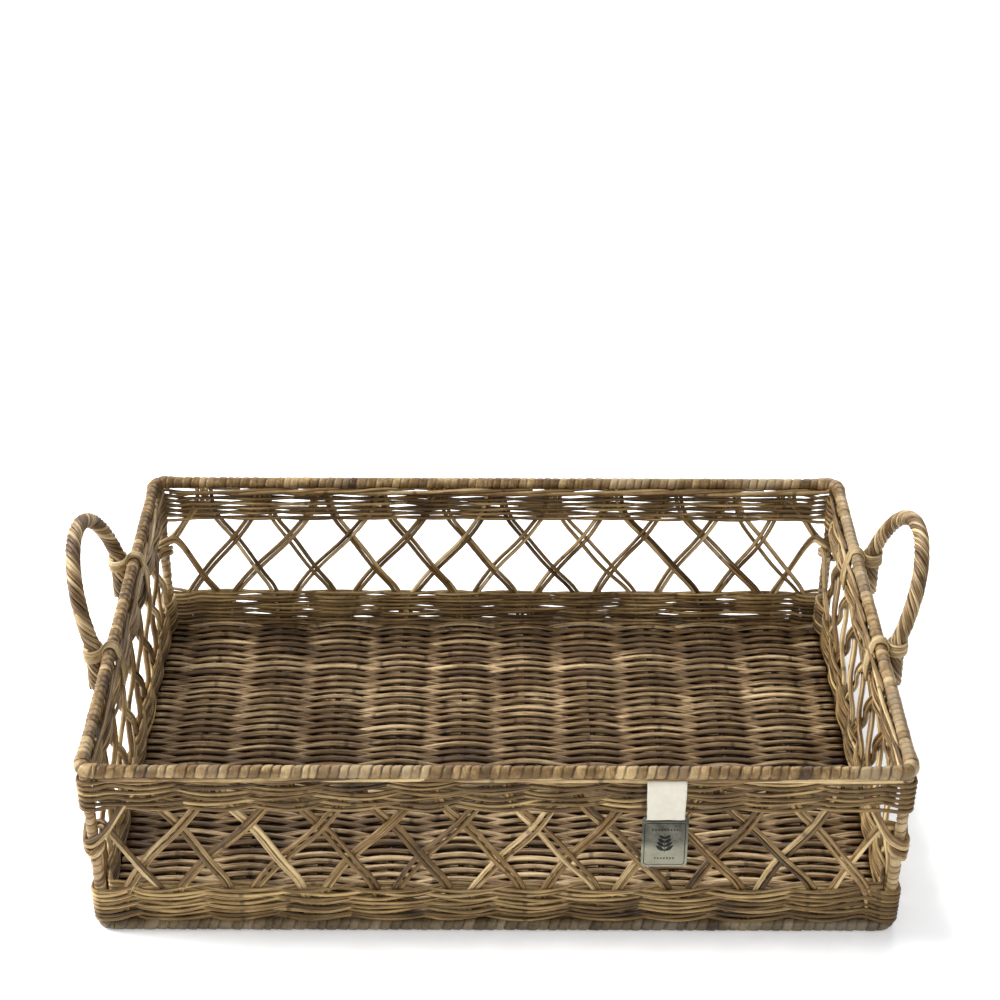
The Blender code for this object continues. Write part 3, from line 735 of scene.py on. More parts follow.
@dataclass(frozen=True)
class WallPlane:
    """The plane of leaning posts that the walls are woven in."""

    low_z: float = 0.0093
    high_z: float = 0.1403
    x_low: float = 0.2890
    x_high: float = 0.2925
    y_low: float = 0.2040
    y_high: float = 0.2075
    post_clear: float = 0.0105

    def posts(self, z: Any) -> tuple[np.ndarray, np.ndarray]:
        """Where the corner posts stand at a height: they lean outwards in a straight line.

        Args:
            z: Height.

        Returns:
            Their distance from the middle in X and in Y.
        """
        share = (np.asarray(z) - self.low_z) / (self.high_z - self.low_z)
        x = self.x_low + (self.x_high - self.x_low) * share
        return x, self.y_low + (self.y_high - self.y_low) * share

    def reach(self, side: Side, z: Any) -> np.ndarray:
        """How far along a side its corner posts stand from the middle."""
        x, y = self.posts(z)
        return x if side.is_long else y

    def point(self, side: Side, along: np.ndarray, z: np.ndarray, out: Any) -> np.ndarray:
        """Points in a wall: along * its direction + (distance of the plane + out) * outwards + z * up.

        Args:
            side: The wall.
            along: Distance from its middle.
            z: Height.
            out: Distance outwards from the plane of the posts.

        Returns:
            Points of (..., 3).
        """
        x, y = self.posts(z)
        away = (y if side.is_long else x) + out
        along, z, away = np.broadcast_arrays(along, z, away)
        return along[..., None] * side.along + away[..., None] * side.out + z[..., None] * UP

    def tops(self, side: Side) -> np.ndarray:
        """Where the stakes leave the upper band."""
        return (np.arange(side.columns) + 0.5 - side.columns / 2.0) * side.top_pitch

    def feet(self, side: Side) -> np.ndarray:
        """Where the stakes enter the lower band, the end ones beside the posts."""
        limit = float(self.reach(side, self.low_z)) - self.post_clear
        return np.clip((np.arange(side.columns + 1) - side.columns / 2.0) * side.foot_pitch, -limit, limit)


PLANE = WallPlane()


# ------------------------------------------------------------------ base
@dataclass
class BaseMat:
    """The floor of the tray: weavers over and under ribs, their cut ends showing at both sides."""

    rows: int = 84
    half_x: float = 0.2866
    half_y: float = 0.2002
    rib_pitch: float = 0.0534
    ribs: int = 10
    middle: float = 0.0073
    swing: float = 0.0034
    edge_calm: tuple[float, float] = (0.1960, 0.1995)
    radius: float = 0.00172
    flatness: float = 1.62
    ragged: float = 0.0020
    tint_spread: float = 0.34
    steps: int = 108
    seed: int = 4

    def build(self) -> None:
        """Weaver height = middle + swing * cos(pi * (x / rib pitch + 1/2 + row)), with a little waviness."""
        rng = np.random.default_rng(self.seed)
        t = np.linspace(0.0, 1.0, self.steps)
        ends = self.half_x - rng.uniform(0.0, self.ragged, (2, self.rows, 1))
        x = -ends[0] + (ends[0] + ends[1]) * t
        row = np.arange(self.rows)[:, None]
        pitch = 2.0 * self.half_y / (self.rows - 1)
        wave = np.cos(math.pi * (x / self.rib_pitch + 0.5 + row))
        lift = self.swing * (1.0 + rng.normal(0.0, 0.07, (self.rows, 1)))
        lift = lift * (1.0 - 0.5 * ease(self.half_x - 0.010, self.half_x - 0.002, np.abs(x)))
        lift = lift * (1.0 - 0.5 * ease(*self.edge_calm, np.abs(-self.half_y + row * pitch)))
        y = -self.half_y + row * pitch + 0.00045 * wander(rng, self.rows, t, 9)
        z = self.middle + lift * wave + 0.00028 * wander(rng, self.rows, t, 12)
        radius = self.radius * (1.0 + rng.normal(0.0, 0.05, (self.rows, 1, 1)))
        radius = radius * (1.0 + 0.06 * wander(rng, self.rows, t, 14)[..., None])
        skin = Skin()
        skin.tubes(np.stack([x, y, z], axis=-1), UP, radius * self.flatness, radius,
                   np.clip(rng.normal(0.0, self.tint_spread, self.rows), -1.0, 1.0))
        skin.piece("base_weavers", BASE, nodes=["base_weave"])
        for number in range(self.ribs):
            dress("base_rib_%02d" % (number + 1), RIB)


# ------------------------------------------------------------------ walls
@dataclass
class LatticeWall:
    """One open wall: pairs of canes that lean both ways and pass over and under each other."""

    side: Side
    top: float = 0.1420
    high: float = 0.1205
    low: float = 0.0339
    foot: float = 0.0088
    radius: float = 0.00185
    apart: float = 0.0040
    steps: int = 64
    bend: float = 13.0
    post_radius: float = 0.0042
    turn_z_long: float = 0.0805
    turn_z_short: float = 0.0715
    hook_drop: float = 0.0021
    seed: int = 11

    def build(self) -> None:
        """Builds the straight pairs and the pairs that turn round the corner posts."""
        rng = np.random.default_rng(self.seed + self.side.columns + (7 if self.side.out.sum() > 0 else 0))
        tops, feet = PLANE.tops(self.side), PLANE.feet(self.side)
        skin = Skin()
        starts, ends, leans = [], [], []
        for lean, shift in ((1, 2), (-1, -1)):
            for column, start in enumerate(tops):
                if 0 <= column + shift <= self.side.columns:
                    starts.append(start + lean * self.apart)
                    ends.append(feet[column + shift] - lean * self.apart)
                    leans.append(lean)
        self._add_pairs(skin, rng, np.array(starts), np.array(ends), np.array(leans))
        for lean in (1, -1):
            column, target = (-1, -2) if lean == 1 else (0, 1)
            start, end = tops[column] + lean * self.apart, feet[target] + lean * self.apart
            self._add_hook(skin, rng, start, end, lean)
        skin.piece("lattice_canes_" + self.side.label, LATTICE, nodes=["lattice_" + self.side.label])

    def _add_pairs(self, skin: Skin, rng: np.random.Generator, starts: np.ndarray, ends: np.ndarray,
                   leans: np.ndarray) -> None:
        """Adds pairs: along = start + (end - start) * soft ramp of t, out = swing * cos(3 pi (t - 1/3)).

        Args:
            skin: Where the canes go.
            rng: Source of the small differences.
            starts: Where each pair leaves the upper band.
            ends: Where it enters the lower band.
            leans: 1 where it leans along the wall, -1 where it leans back.
        """
        height = self.high - self.low
        t = np.linspace((self.high - self.top) / height, (self.high - self.foot) / height, self.steps)
        twice = np.repeat(np.arange(len(starts)), 2)
        which = np.tile([-1.0, 1.0], len(starts))[:, None]
        lean = leans[twice][:, None].astype(float)
        ramp = soft_ramp(t, self.bend)
        inside = ease(-0.02, 0.22, t) * ease(-0.02, 0.22, 1.0 - t)
        bow = np.sin(math.pi * np.clip(t, 0.0, 1.0))
        gap = self.radius * (1.02 + 0.2 * inside) + rng.gamma(1.2, 0.00035, (len(starts), 1))[twice] * bow
        sway = rng.normal(0.0, 0.0016, (len(starts), 1))[twice] * bow
        shift = rng.normal(0.0, 0.0011, (len(starts), 1))[twice]
        own = 0.00035 * wander(rng, len(twice), np.linspace(0, 1, self.steps), 4)
        along = starts[twice][:, None] + shift + (ends - starts)[twice][:, None] * ramp
        along = along + which * gap + sway + own
        out = -lean * 1.04 * self.radius * np.cos(3.0 * math.pi * (t - 1.0 / 3.0)) * inside
        out = out + 0.0002 * wander(rng, len(twice), np.linspace(0, 1, self.steps), 3)
        z = np.broadcast_to(self.high - height * t, along.shape)
        radius = self.radius * (1.0 + rng.normal(0.0, 0.04, (len(twice), 1, 1)))
        skin.tubes(PLANE.point(self.side, along, z, out), self.side.out, radius, radius,
                   np.clip(rng.normal(0.0, 0.55, len(twice)), -1.2, 1.0))

    def _add_hook(self, skin: Skin, rng: np.random.Generator, start: float, end: float, lean: int) -> None:
        """Adds a pair that runs to the corner post, round its outside and back down into the wall.

        Args:
            skin: Where the canes go.
            rng: Source of the small differences.
            start: Where the pair leaves the upper band.
            end: Where it enters the lower band after turning.
            lean: 1 towards the far post, -1 towards the near one.
        """
        turn_z = self.turn_z_long if self.side.is_long else self.turn_z_short
        round_post = self.post_radius + self.radius + 0.0002
        post = lean * float(PLANE.reach(self.side, turn_z))
        pieces = []
        for which in (-1.0, 1.0):
            drop = self.hook_drop * which
            # Each row is (distance along the wall, height, distance outwards).
            route = [(start + lean * which * self.radius, self.top, 0.0),
                     (start + lean * (which * self.radius + 0.0010), 0.1290, 0.0),
                     (start + lean * 0.0115, 0.1130 + drop, -lean * 0.0022),
                     (post - lean * 0.0105, turn_z + 0.0120 + drop, 0.0056),
                     (post - lean * 0.0010, turn_z + 0.0030 + drop, round_post),
                     (post + lean * 0.0048, turn_z + 0.0004 + drop, round_post * 0.62),
                     (post + lean * 0.0061, turn_z + 0.0020 + drop, -round_post * 0.10),
                     (post + lean * 0.0030, turn_z + 0.0065 + drop, -round_post * 0.90),
                     (post - lean * 0.0060, turn_z + 0.0120 + drop, -round_post * 0.86),
                     (post - lean * 0.0150, turn_z + 0.0085 + drop, -lean * 0.0040),
                     (end + lean * 0.0130, 0.0560 + drop, -lean * 0.0036),
                     (end + lean * (0.0020 - which * self.radius), 0.0375, 0.0),
                     (end - lean * which * self.radius, 0.0240, 0.0),
                     (end - lean * which * self.radius, self.foot, 0.0)]
            route = np.array(route) + rng.normal(0.0, 0.0003, (len(route), 3))
            pieces.append(PLANE.point(self.side, route[:, 0], route[:, 1], route[:, 2]))
        skin.tubes(through(np.array(pieces), 8), self.side.out, self.radius, self.radius,
                   np.clip(rng.normal(0.1, 0.6, 2), -1.2, 1.2))


@dataclass
class BandRow:
    """Pairs of canes twined round the whole tray: at each stake one is in front and the other behind."""

    name: str
    node: str
    heights: tuple[float, ...]
    at_foot: bool
    swing: float = 0.0035
    sag: float = 0.0010
    twist: float = 0.0005
    radius: float = 0.00142
    post_radius: float = 0.0042
    inner_bend: float = 0.0020
    steps_long: int = 122
    steps_short: int = 90
    corner_steps: int = 7
    seed: int = 30

    def ring(self, rng: np.random.Generator) -> tuple[np.ndarray, np.ndarray]:
        """Closed paths: out = swing * cos(pi * stakes passed), z dips where a cane is in front.

        The second cane of a pair has the opposite wave. Near a post the wave eases into an arc round
        its outside, or into a small bend inside it.

        Args:
            rng: Source of the waviness.

        Returns:
            The paths and their outward directions, both (canes, steps, 3).
        """
        count = 2 * len(self.heights)
        z_mid = np.repeat(self.heights, 2)[:, None]
        front = np.tile([1.0, -1.0], len(self.heights))[:, None]
        around = self.post_radius + self.radius + 0.0001
        bend = np.where(front > 0.0, around, self.inner_bend)
        inset = np.where(front > 0.0, 0.0, around + self.inner_bend)
        spans, outs = [], []
        for side in Side:
            reach = PLANE.reach(side, z_mid) - inset
            t = np.linspace(-1.0, 1.0, self.steps_long if side.is_long else self.steps_short)
            along = reach * t
            pitch = side.foot_pitch if self.at_foot else side.top_pitch
            passed = along / pitch + side.columns / 2.0 - (0.0 if self.at_foot else 0.5)
            passed = passed + 0.20 * wander(rng, count, (t + 1.0) / 2.0, 7)
            wave = front * np.cos(math.pi * passed)
            held = ease(0.004, 0.024, reach - np.abs(along))
            out = held * self.swing * wave + (1.0 - held) * (bend - inset)
            z = z_mid - held * (self.sag * wave - self.twist * front * np.sin(math.pi * passed))
            z = z + 0.0008 * held * wander(rng, count, (t + 1.0) / 2.0, 9)
            spans.append(PLANE.point(side, along, z, out))
            outs.append(np.broadcast_to(side.out, spans[-1].shape))
            angle = np.linspace(0.0, math.pi / 2.0, self.corner_steps + 2)[1:-1]
            turn = np.cos(angle)[:, None] * side.out + np.sin(angle)[:, None] * side.along
            centre = PLANE.point(side, reach, z_mid, -inset)
            spans.append(centre + bend[..., None] * turn)
            outs.append(np.broadcast_to(turn, spans[-1].shape))
        return np.concatenate(spans, axis=1), np.concatenate(outs, axis=1)

    def build(self) -> None:
        """Builds the canes as one piece."""
        rng = np.random.default_rng(self.seed)
        paths, outward = self.ring(rng)
        count = len(paths)
        t = np.linspace(0.0, 1.0, paths.shape[1])
        radius = self.radius * (1.0 + 0.05 * wander(rng, count, t, 20)[..., None])
        tint = rng.normal(0.0, 0.35, (count, 1, 1)) + 0.55 * wander(rng, count, t, 11)[..., None]
        skin = Skin()
        skin.tubes(paths, outward, radius * 1.06, radius * 0.94, np.clip(tint, -1.2, 1.2), closed=True)
        skin.piece(self.name, BAND, nodes=[self.node])


@dataclass
class BorderCanes:
    """Stake ends that lie along the outside and inside of a wall, each rising to tuck under the rim."""

    side: Side
    low: float = 0.1385
    high: float = 0.1417
    spans: float = 2.3
    radius: float = 0.0017
    steps: int = 40
    seed: int = 51

    def build(self) -> None:
        """Cane height = low + (high - low) * t, out = where the row stands + a rise over the next cane."""
        rng = np.random.default_rng(self.seed + int(self.side.out @ np.array([3.0, 5.0, 0.0])))
        t = np.linspace(0.0, 1.0, self.steps)
        skin = Skin()
        for sign in (1.0, -1.0):
            starts = PLANE.tops(self.side)[:, None] - 0.6 * self.side.top_pitch
            length = self.spans * self.side.top_pitch * (1.0 + rng.normal(0.0, 0.12, (len(starts), 1)))
            reach = PLANE.reach(self.side, self.high) - 0.0055
            along = np.clip(starts + length * t, -reach - 0.02, reach)
            fits = (along[:, -1] - along[:, 0]) > 0.030
            along, starts = along[fits] * sign, starts[fits]
            z = self.low + (self.high - self.low) * ease(-0.1, 1.1, t)
            z = z + rng.normal(0, 0.0003, (len(starts), 1))
            z = z + 0.0004 * wander(rng, len(starts), t, 3)
            bulge = 0.0016 * np.sin(math.pi * t) ** 2 + 0.0026
            out = sign * (bulge + 0.0012 * (1.0 - t)) + 0.0002 * wander(rng, len(starts), t, 3)
            thin = self.radius * (0.55 + 0.45 * ease(0.0, 0.12, t) * ease(0.0, 0.1, 1.0 - t))
            thin = thin[:, None]
            skin.tubes(PLANE.point(self.side, along, z, out), self.side.out, thin, thin * 0.9,
                       np.clip(rng.normal(0.15, 0.5, len(starts)), -1, 1.2))
        skin.piece("border_canes_" + self.side.label, LATTICE)


# ------------------------------------------------------------------ wound peel
@dataclass(frozen=True)
class Winding:
    """Flat peel wound round a pole as a helix with lapped edges."""

    radius: float
    pitch: float
    hand: float = 1.0
    groove: float = 0.00070
    lap: float = 0.00045
    seam: float = 0.00062
    sides: int = 22

    def wind(self, skin: Skin, path: np.ndarray, outward: Any, swell: Any, rng: np.random.Generator) -> None:
        """Turns passed u = run / pitch + angle / 2 pi; radius rises across each turn and dips at its seam.

        Args:
            skin: Where the winding goes.
            path: Centre line, (steps, 3).
            outward: The direction opposite to where a turn is counted from.
            swell: Extra radius along the path.
            rng: Source of the turns' differences.
        """
        steps = len(path)
        run = distance_along(path)
        share = run / run[-1]
        uneven = 0.26 * wander(rng, 1, share, 31)[0]
        turns = (run / self.pitch + uneven)[:, None] + self.hand * np.arange(self.sides) / self.sides
        turns = turns + rng.uniform(10.0, 11.0)
        turn = np.floor(turns).astype(int)
        part = turns - turn
        to_seam = np.minimum(part, 1.0 - part) * self.pitch
        depth = rng.uniform(0.45, 1.0, turn.max() + 4)
        seam = depth[turn + (part > 0.5)] * np.exp(-((to_seam / self.seam) ** 2))
        tints = rng.normal(0.0, 0.34, turn.max() + 4)
        heights = rng.uniform(-0.00012, 0.00022, turn.max() + 4)
        radius = (self.radius - 0.0002 + self.lap * (part - 0.5) + heights[turn]
                  + 0.00018 * (1.0 - (2.0 * part - 1.0) ** 2) - self.groove * seam)
        radius = radius + np.broadcast_to(swell, (steps,))[:, None]
        skin.tubes(path[None], outward, radius[None], radius[None], np.clip(tints[turn], -1.2, 1.2)[None],
                   sides=self.sides, seam=seam[None], start_angle=-math.pi / 2.0)


@dataclass
class WoundRing:
    """The rim or the foot: a wound pole on all four sides and round the corners."""

    name: str
    finish: Finish
    half_x: float
    half_y: float
    height: float
    winding: Winding
    corner: float = 0.010
    step: float = 0.00062
    swell: float = 0.0
    seed: int = 70
    corner_nodes: tuple[str, ...] = ()

    def side_path(self, side: Side) -> tuple[np.ndarray, np.ndarray]:
        """A side's centre line, and the corner after it as a quarter of a circle.

        Args:
            side: The side.

        Returns:
            The path, (steps, 3), and how near each point is to a corner, from 0 to 1.
        """
        reach = (self.half_x if side.is_long else self.half_y) - self.corner
        away = (self.half_y if side.is_long else self.half_x) - self.corner
        count = int(2.0 * reach / self.step)
        along = np.linspace(-reach, reach, count)[:, None]
        straight = along * side.along + (away + self.corner) * side.out
        angle = np.linspace(0.0, math.pi / 2.0, 26)[1:, None]
        arc = reach * side.along + away * side.out
        arc = arc + self.corner * (np.cos(angle) * side.out + np.sin(angle) * side.along)
        path = np.concatenate([straight, arc]) + self.height * UP
        near = np.concatenate([ease(0.018, 0.0, reach - np.abs(along[:, 0])), np.ones(len(angle))])
        return path, near

    def build(self) -> None:
        """Builds one piece for each side, with the corner at its end."""
        for number, side in enumerate(Side):
            rng = np.random.default_rng(self.seed + number)
            path, near = self.side_path(side)
            skin = Skin()
            self.winding.wind(skin, path, UP, self.swell * near, rng)
            nodes = ["%s_binding_%s" % (self.name, side.label)]
            if self.corner_nodes:
                nodes.append(self.corner_nodes[number])
            skin.piece("%s_winding_%s" % (self.name, side.label), self.finish, nodes=nodes)
        dress(self.name + "_pole", POLE)


@dataclass
class WoundPost:
    """A corner post, wound with peel from the foot to the rim."""

    label: str
    sign_x: float
    sign_y: float
    winding: Winding = Winding(radius=0.0042, pitch=0.0062, hand=-1.0, sides=18)
    low: float = 0.0088
    high: float = 0.1412
    steps: int = 230
    seed: int = 90

    def build(self) -> None:
        """The post leans outwards in a straight line between its two ends."""
        rng = np.random.default_rng(self.seed + int(self.sign_x + 2 * self.sign_y))
        z = np.linspace(self.low, self.high, self.steps)
        x, y = PLANE.posts(z)
        path = np.stack([self.sign_x * x, self.sign_y * y, z], axis=-1)
        inward = np.array([self.sign_x, self.sign_y, 0.0])
        skin = Skin()
        self.winding.wind(skin, path, inward, 0.0, rng)
        skin.piece("wound_post_" + self.label, PEEL_POST, nodes=["post_binding_" + self.label])
        dress("post_" + self.label, POLE)


# ------------------------------------------------------------------ handles
@dataclass
class Handle:
    """A rope hoop with straw collars where it meets the rim, and canes lashed over the rim."""

    label: str
    sign: float
    lean_deg: float
    centre_y: float
    leg_x: float = 0.3088
    half_width: float = 0.067
    rise: float = 0.063
    foot_z: float = 0.112
    shoulder_z: float = 0.150
    strands: int = 8
    strand_radius: float = 0.00154
    strand_offset: float = 0.00456
    twist: float = 0.044
    rim_x: float = 0.2953
    rim_z: float = 0.1453
    rim_radius: float = 0.0047
    collar_z: float = 0.1440
    collar_radius: float = 0.0071
    collar_turns: float = 5.2
    lashing_canes: int = 5
    seed: int = 110

    def centre_line(self, steps: int) -> np.ndarray:
        """Up one leg, over half an ellipse that leans outwards, and down the other leg.

        Args:
            steps: Points on the arch.

        Returns:
            The path, (points, 3).
        """
        lean = math.radians(self.lean_deg)
        angle = np.linspace(0.0, math.pi, steps)
        up = self.rise * np.sin(angle)
        arch = np.stack([self.sign * (self.leg_x + up * math.sin(lean)),
                         self.centre_y - self.half_width * np.cos(angle),
                         self.shoulder_z + up * math.cos(lean)], axis=-1)
        legs = np.linspace(self.foot_z, self.shoulder_z, 15)[:-1]
        ends = [np.stack([np.full_like(legs, self.sign * self.leg_x),
                          np.full_like(legs, self.centre_y + way * self.half_width), legs], axis=-1)
                for way in (-1.0, 1.0)]
        return np.concatenate([ends[0], arch, ends[1][::-1]])

    def build(self) -> None:
        """Builds the rope, the two collars and the two lashings."""
        rng = np.random.default_rng(self.seed + int(self.sign))
        self._build_rope(rng)
        for end, way in (("front", -1.0), ("back", 1.0)):
            self._build_collar(rng, end, self.centre_y + way * self.half_width)
            self._build_lashing(rng, end, self.centre_y + way * self.half_width)

    def _build_rope(self, rng: np.random.Generator) -> None:
        """Each strand runs round the centre line at an angle of 2 pi * (own share - run / twist).

        Args:
            rng: Source of the strands' differences.
        """
        path = self.centre_line(150)
        lean = math.radians(self.lean_deg)
        flat = np.array([self.sign * math.cos(lean), 0.0, -math.sin(lean)])
        ahead = np.gradient(path, axis=0)
        ahead /= np.linalg.norm(ahead, axis=-1, keepdims=True)
        side = np.cross(flat, ahead)
        side /= np.linalg.norm(side, axis=-1, keepdims=True)
        lift = np.cross(ahead, side)
        run = distance_along(path)
        own = np.arange(self.strands)[:, None] / self.strands
        angle = TURN * (own - run / self.twist) + 0.10 * wander(rng, self.strands, run / run[-1], 5)
        offset = self.strand_offset + 0.00012 * wander(rng, self.strands, run / run[-1], 4)
        away = np.cos(angle)[..., None] * side + np.sin(angle)[..., None] * lift
        strands = path + offset[..., None] * away
        radius = self.strand_radius * (1.0 + rng.normal(0.0, 0.05, (self.strands, 1, 1)))
        skin = Skin()
        skin.tubes(strands, away, radius * 1.04, radius * 0.96,
                   np.clip(rng.normal(0.0, 0.5, self.strands), -1, 1), sides=10)
        core = self.strand_offset - 0.0010
        skin.tubes(path[None], flat, core, core, np.array([-1.0]), sides=10)
        skin.piece("rope_" + self.label, ROPE, nodes=["handle_rope_" + self.label])

    def _build_collar(self, rng: np.random.Generator, end: str, y: float) -> None:
        """Turns of straw: a helix round the leg whose plane tilts a little towards the rim.

        Args:
            rng: Source of the waviness.
            end: Which leg, for the names.
            y: Where the leg stands.
        """
        steps = 190
        t = np.linspace(0.0, 1.0, steps)
        angle = TURN * self.collar_turns * t + (0.0 if self.sign > 0 else math.pi)
        radius = self.collar_radius + 0.0003 * wander(rng, 1, t, 5)[0]
        z = self.collar_z - 0.0052 + 0.0112 * t + 0.0009 * np.sin(angle + 0.6)
        z = z + 0.0003 * wander(rng, 1, t, 8)[0]
        path = np.stack([self.sign * self.leg_x + radius * np.cos(angle), y + radius * np.sin(angle), z],
                        axis=-1)
        skin = Skin()
        outward = np.stack([np.cos(angle), np.sin(angle), np.zeros(steps)], axis=-1)
        tint = (0.2 + 0.5 * wander(rng, 1, t, 6))[..., None]
        skin.tubes(path[None], outward, 0.00125, 0.00095, tint, sides=8)
        skin.piece("straw_collar_%s_%s" % (self.label, end), STRAW,
                   nodes=["handle_collar_%s_%s" % (self.label, end)])

    def _build_lashing(self, rng: np.random.Generator, end: str, y: float) -> None:
        """Canes on an arc over the rim, radius = rim + half a cane, then down inside the wall and fanned.

        Args:
            rng: Source of the small differences.
            end: Which leg, for the names.
            y: Where the leg stands.
        """
        canes = self.lashing_canes
        clear = self.rim_radius + 0.0011
        angle = np.radians(np.array([-38.0, 0.0, 45.0, 90.0, 135.0, 178.0]))
        over = np.stack([self.rim_x + clear * np.cos(angle), self.rim_z + clear * np.sin(angle)], axis=-1)
        down = np.array([[0.2874, 0.1375], [0.2862, 0.1290], [0.2858, 0.1180]])
        route = np.concatenate([over, down])
        share = np.linspace(-1.0, 1.0, canes)[:, None]
        fan = np.array([0.9, 0.75, 0.62, 0.60, 0.66, 0.80, 1.0, 1.2, 1.4])
        across = y + 0.0056 * share * fan + rng.normal(0.0, 0.0004, (canes, len(route)))
        points = np.stack([np.broadcast_to(self.sign * route[:, 0], across.shape), across,
                           np.broadcast_to(route[:, 1], across.shape)], axis=-1)
        paths = through(points, 7)
        middle = np.array([self.sign * (self.rim_x - 0.001), y, self.rim_z - 0.006])
        outward = paths - middle
        outward[..., 1] = 0.0
        skin = Skin()
        skin.tubes(paths, outward, 0.00145, 0.00100, rng.normal(0.1, 0.4, canes), sides=8)
        skin.piece("rim_lashing_%s_%s" % (self.label, end), STRAW,
                   nodes=["handle_lashing_%s_%s" % (self.label, end)])


# ------------------------------------------------------------------ ribbon and plate
@dataclass
class NameTag:
    """A folded ribbon under the rim that holds a small pewter plate with a leaf sprig."""

    centre_x: float = 0.1206
    axis_y: float = -0.2155
    axis_z: float = 0.1100
    half_width: float = 0.0140
    loop: float = 0.0018
    thick: float = 0.0006
    plate_half: float = 0.0166
    plate_front: float = -0.2161
    plate_low: float = 0.0660
    columns: int = 15
    seed: int = 130

    def build(self) -> None:
        """Builds the ribbon, dresses the plate and adds its raised border and sprig."""
        self._build_ribbon()
        dress("tag_plate", PEWTER)
        self._build_border()
        self._build_sprig()

    def _build_ribbon(self) -> None:
        """A strip swept along its fold: down behind the bar, round it and up in front, then tucked in."""
        y, z, r = self.axis_y, self.axis_z, self.loop
        profile = [(y + 0.0022, z + 0.0300), (y + 0.0010, z + 0.0285), (y + 0.0009, z + 0.0240),
                   (y + 0.0010, z + 0.0150), (y + r, z + 0.0040), (y + r, z)]
        profile += [(y + r * math.cos(a), z - r * math.sin(a)) for a in np.radians([45, 90, 135])]
        profile += [(y - r, z), (y - r, z + 0.0040), (y - 0.0014, z + 0.0150), (y - 0.0012, z + 0.0240),
                    (y - 0.0010, z + 0.0285), (y + 0.0010, z + 0.0306)]
        line = through(np.array([(0.0, a, b) for a, b in profile]), 5)
        run = distance_along(line)
        rng = np.random.default_rng(self.seed)
        across = np.linspace(-1.0, 1.0, self.columns)
        half = self.half_width * (0.97 + 0.012 * wander(rng, 1, run / run[-1], 6)[0]
                                  + 0.035 * ease(self.axis_z, self.axis_z + 0.03, line[:, 2]))
        points = np.repeat(line[:, None], self.columns, axis=1)
        points[..., 0] = self.centre_x + half[:, None] * across
        points[..., 1] += 0.00016 * np.sin(across * 5.0 + line[:, 2:3] * 300.0)
        grid = np.arange(len(line) * self.columns).reshape(len(line), self.columns)
        faces = np.stack([grid[:-1, :-1], grid[:-1, 1:], grid[1:, 1:], grid[1:, :-1]], axis=-1)
        flow = np.zeros_like(points)
        flow[..., 0] = run[:, None]
        flow[..., 1] = points[..., 0]
        skin = Skin()
        skin.add(points, flow, np.zeros_like(points), [(faces.reshape(-1, 4), False)])
        ribbon = skin.piece("ribbon_tab", RIBBON, nodes=["fabric_tab"])
        solid = ribbon.modifiers.new("thickness", "SOLIDIFY")
        solid.thickness = self.thick
        solid.offset = 0.0

    def _build_border(self) -> None:
        """A raised line: a rounded rectangle just inside the plate's edge."""
        half_x, radius = self.plate_half - 0.0020, 0.0022
        low, high = self.plate_low + 0.0020, self.axis_z - 0.0052
        centre_z, half_z = (low + high) / 2.0, (high - low) / 2.0
        angle = np.linspace(0.0, TURN, 121)[:-1]
        corner_x, corner_z = np.sign(np.cos(angle)), np.sign(np.sin(angle))
        x = self.centre_x + corner_x * (half_x - radius) + radius * np.cos(angle)
        z = centre_z + corner_z * (half_z - radius) + radius * np.sin(angle)
        path = np.stack([x, np.full_like(x, self.plate_front), z], axis=-1)
        keep = np.linalg.norm(path - np.roll(path, 1, axis=0), axis=-1) > 1e-7
        skin = Skin()
        skin.tubes(path[keep][None], FORWARD, 0.00028, 0.00022, np.array([0.0]), sides=6, closed=True)
        skin.piece("plate_border", PEWTER_LINE, body="tag")

    def _build_sprig(self) -> None:
        """Leaves in pairs up a stem, half width = sin(pi t) ** 0.8, and a row of beads above and below."""
        t = np.linspace(0.0, 1.0, 13)
        face = np.full_like(t, self.plate_front)
        skin = Skin()
        middle = self.plate_low + 0.0205
        stem = np.stack([np.full_like(t, self.centre_x), face, middle - 0.0080 + 0.0170 * t], axis=-1)
        skin.tubes(stem[None], FORWARD, 0.00026, 0.00024, np.array([0.0]), sides=6)
        leaves, widths = [], []
        for pair in range(4):
            for way in (-1.0, 1.0):
                base = middle - 0.0060 + 0.0036 * pair
                size = 0.0072 - 0.0009 * pair
                x = self.centre_x + way * size * t * 0.86
                z = base + size * (0.35 * t + 0.30 * t * t)
                leaves.append(np.stack([x, face, z], axis=-1))
                widths.append(0.0015 * np.sin(math.pi * np.clip(t, 0.03, 0.97)) ** 0.8)
        skin.tubes(np.array(leaves), FORWARD, np.array(widths)[..., None], 0.00024,
                   np.zeros(len(leaves)), sides=8)
        lie = np.linspace(-1.0, 1.0, 7)
        swell = (0.0007 * np.sqrt(1.0 - (0.96 * lie) ** 2))[:, None]
        for row_z, beads in ((middle + 0.0125, 9), (middle - 0.0128, 7)):
            x = self.centre_x + 0.0022 * (np.arange(beads) - (beads - 1) / 2.0)[:, None] + 0.0007 * lie
            path = np.stack([x, np.full_like(x, self.plate_front), np.full_like(x, row_z)], axis=-1)
            skin.tubes(path, FORWARD, swell, swell * 0.4, np.zeros(beads), sides=8)
        skin.piece("plate_sprig", PEWTER_LINE, body="tag")


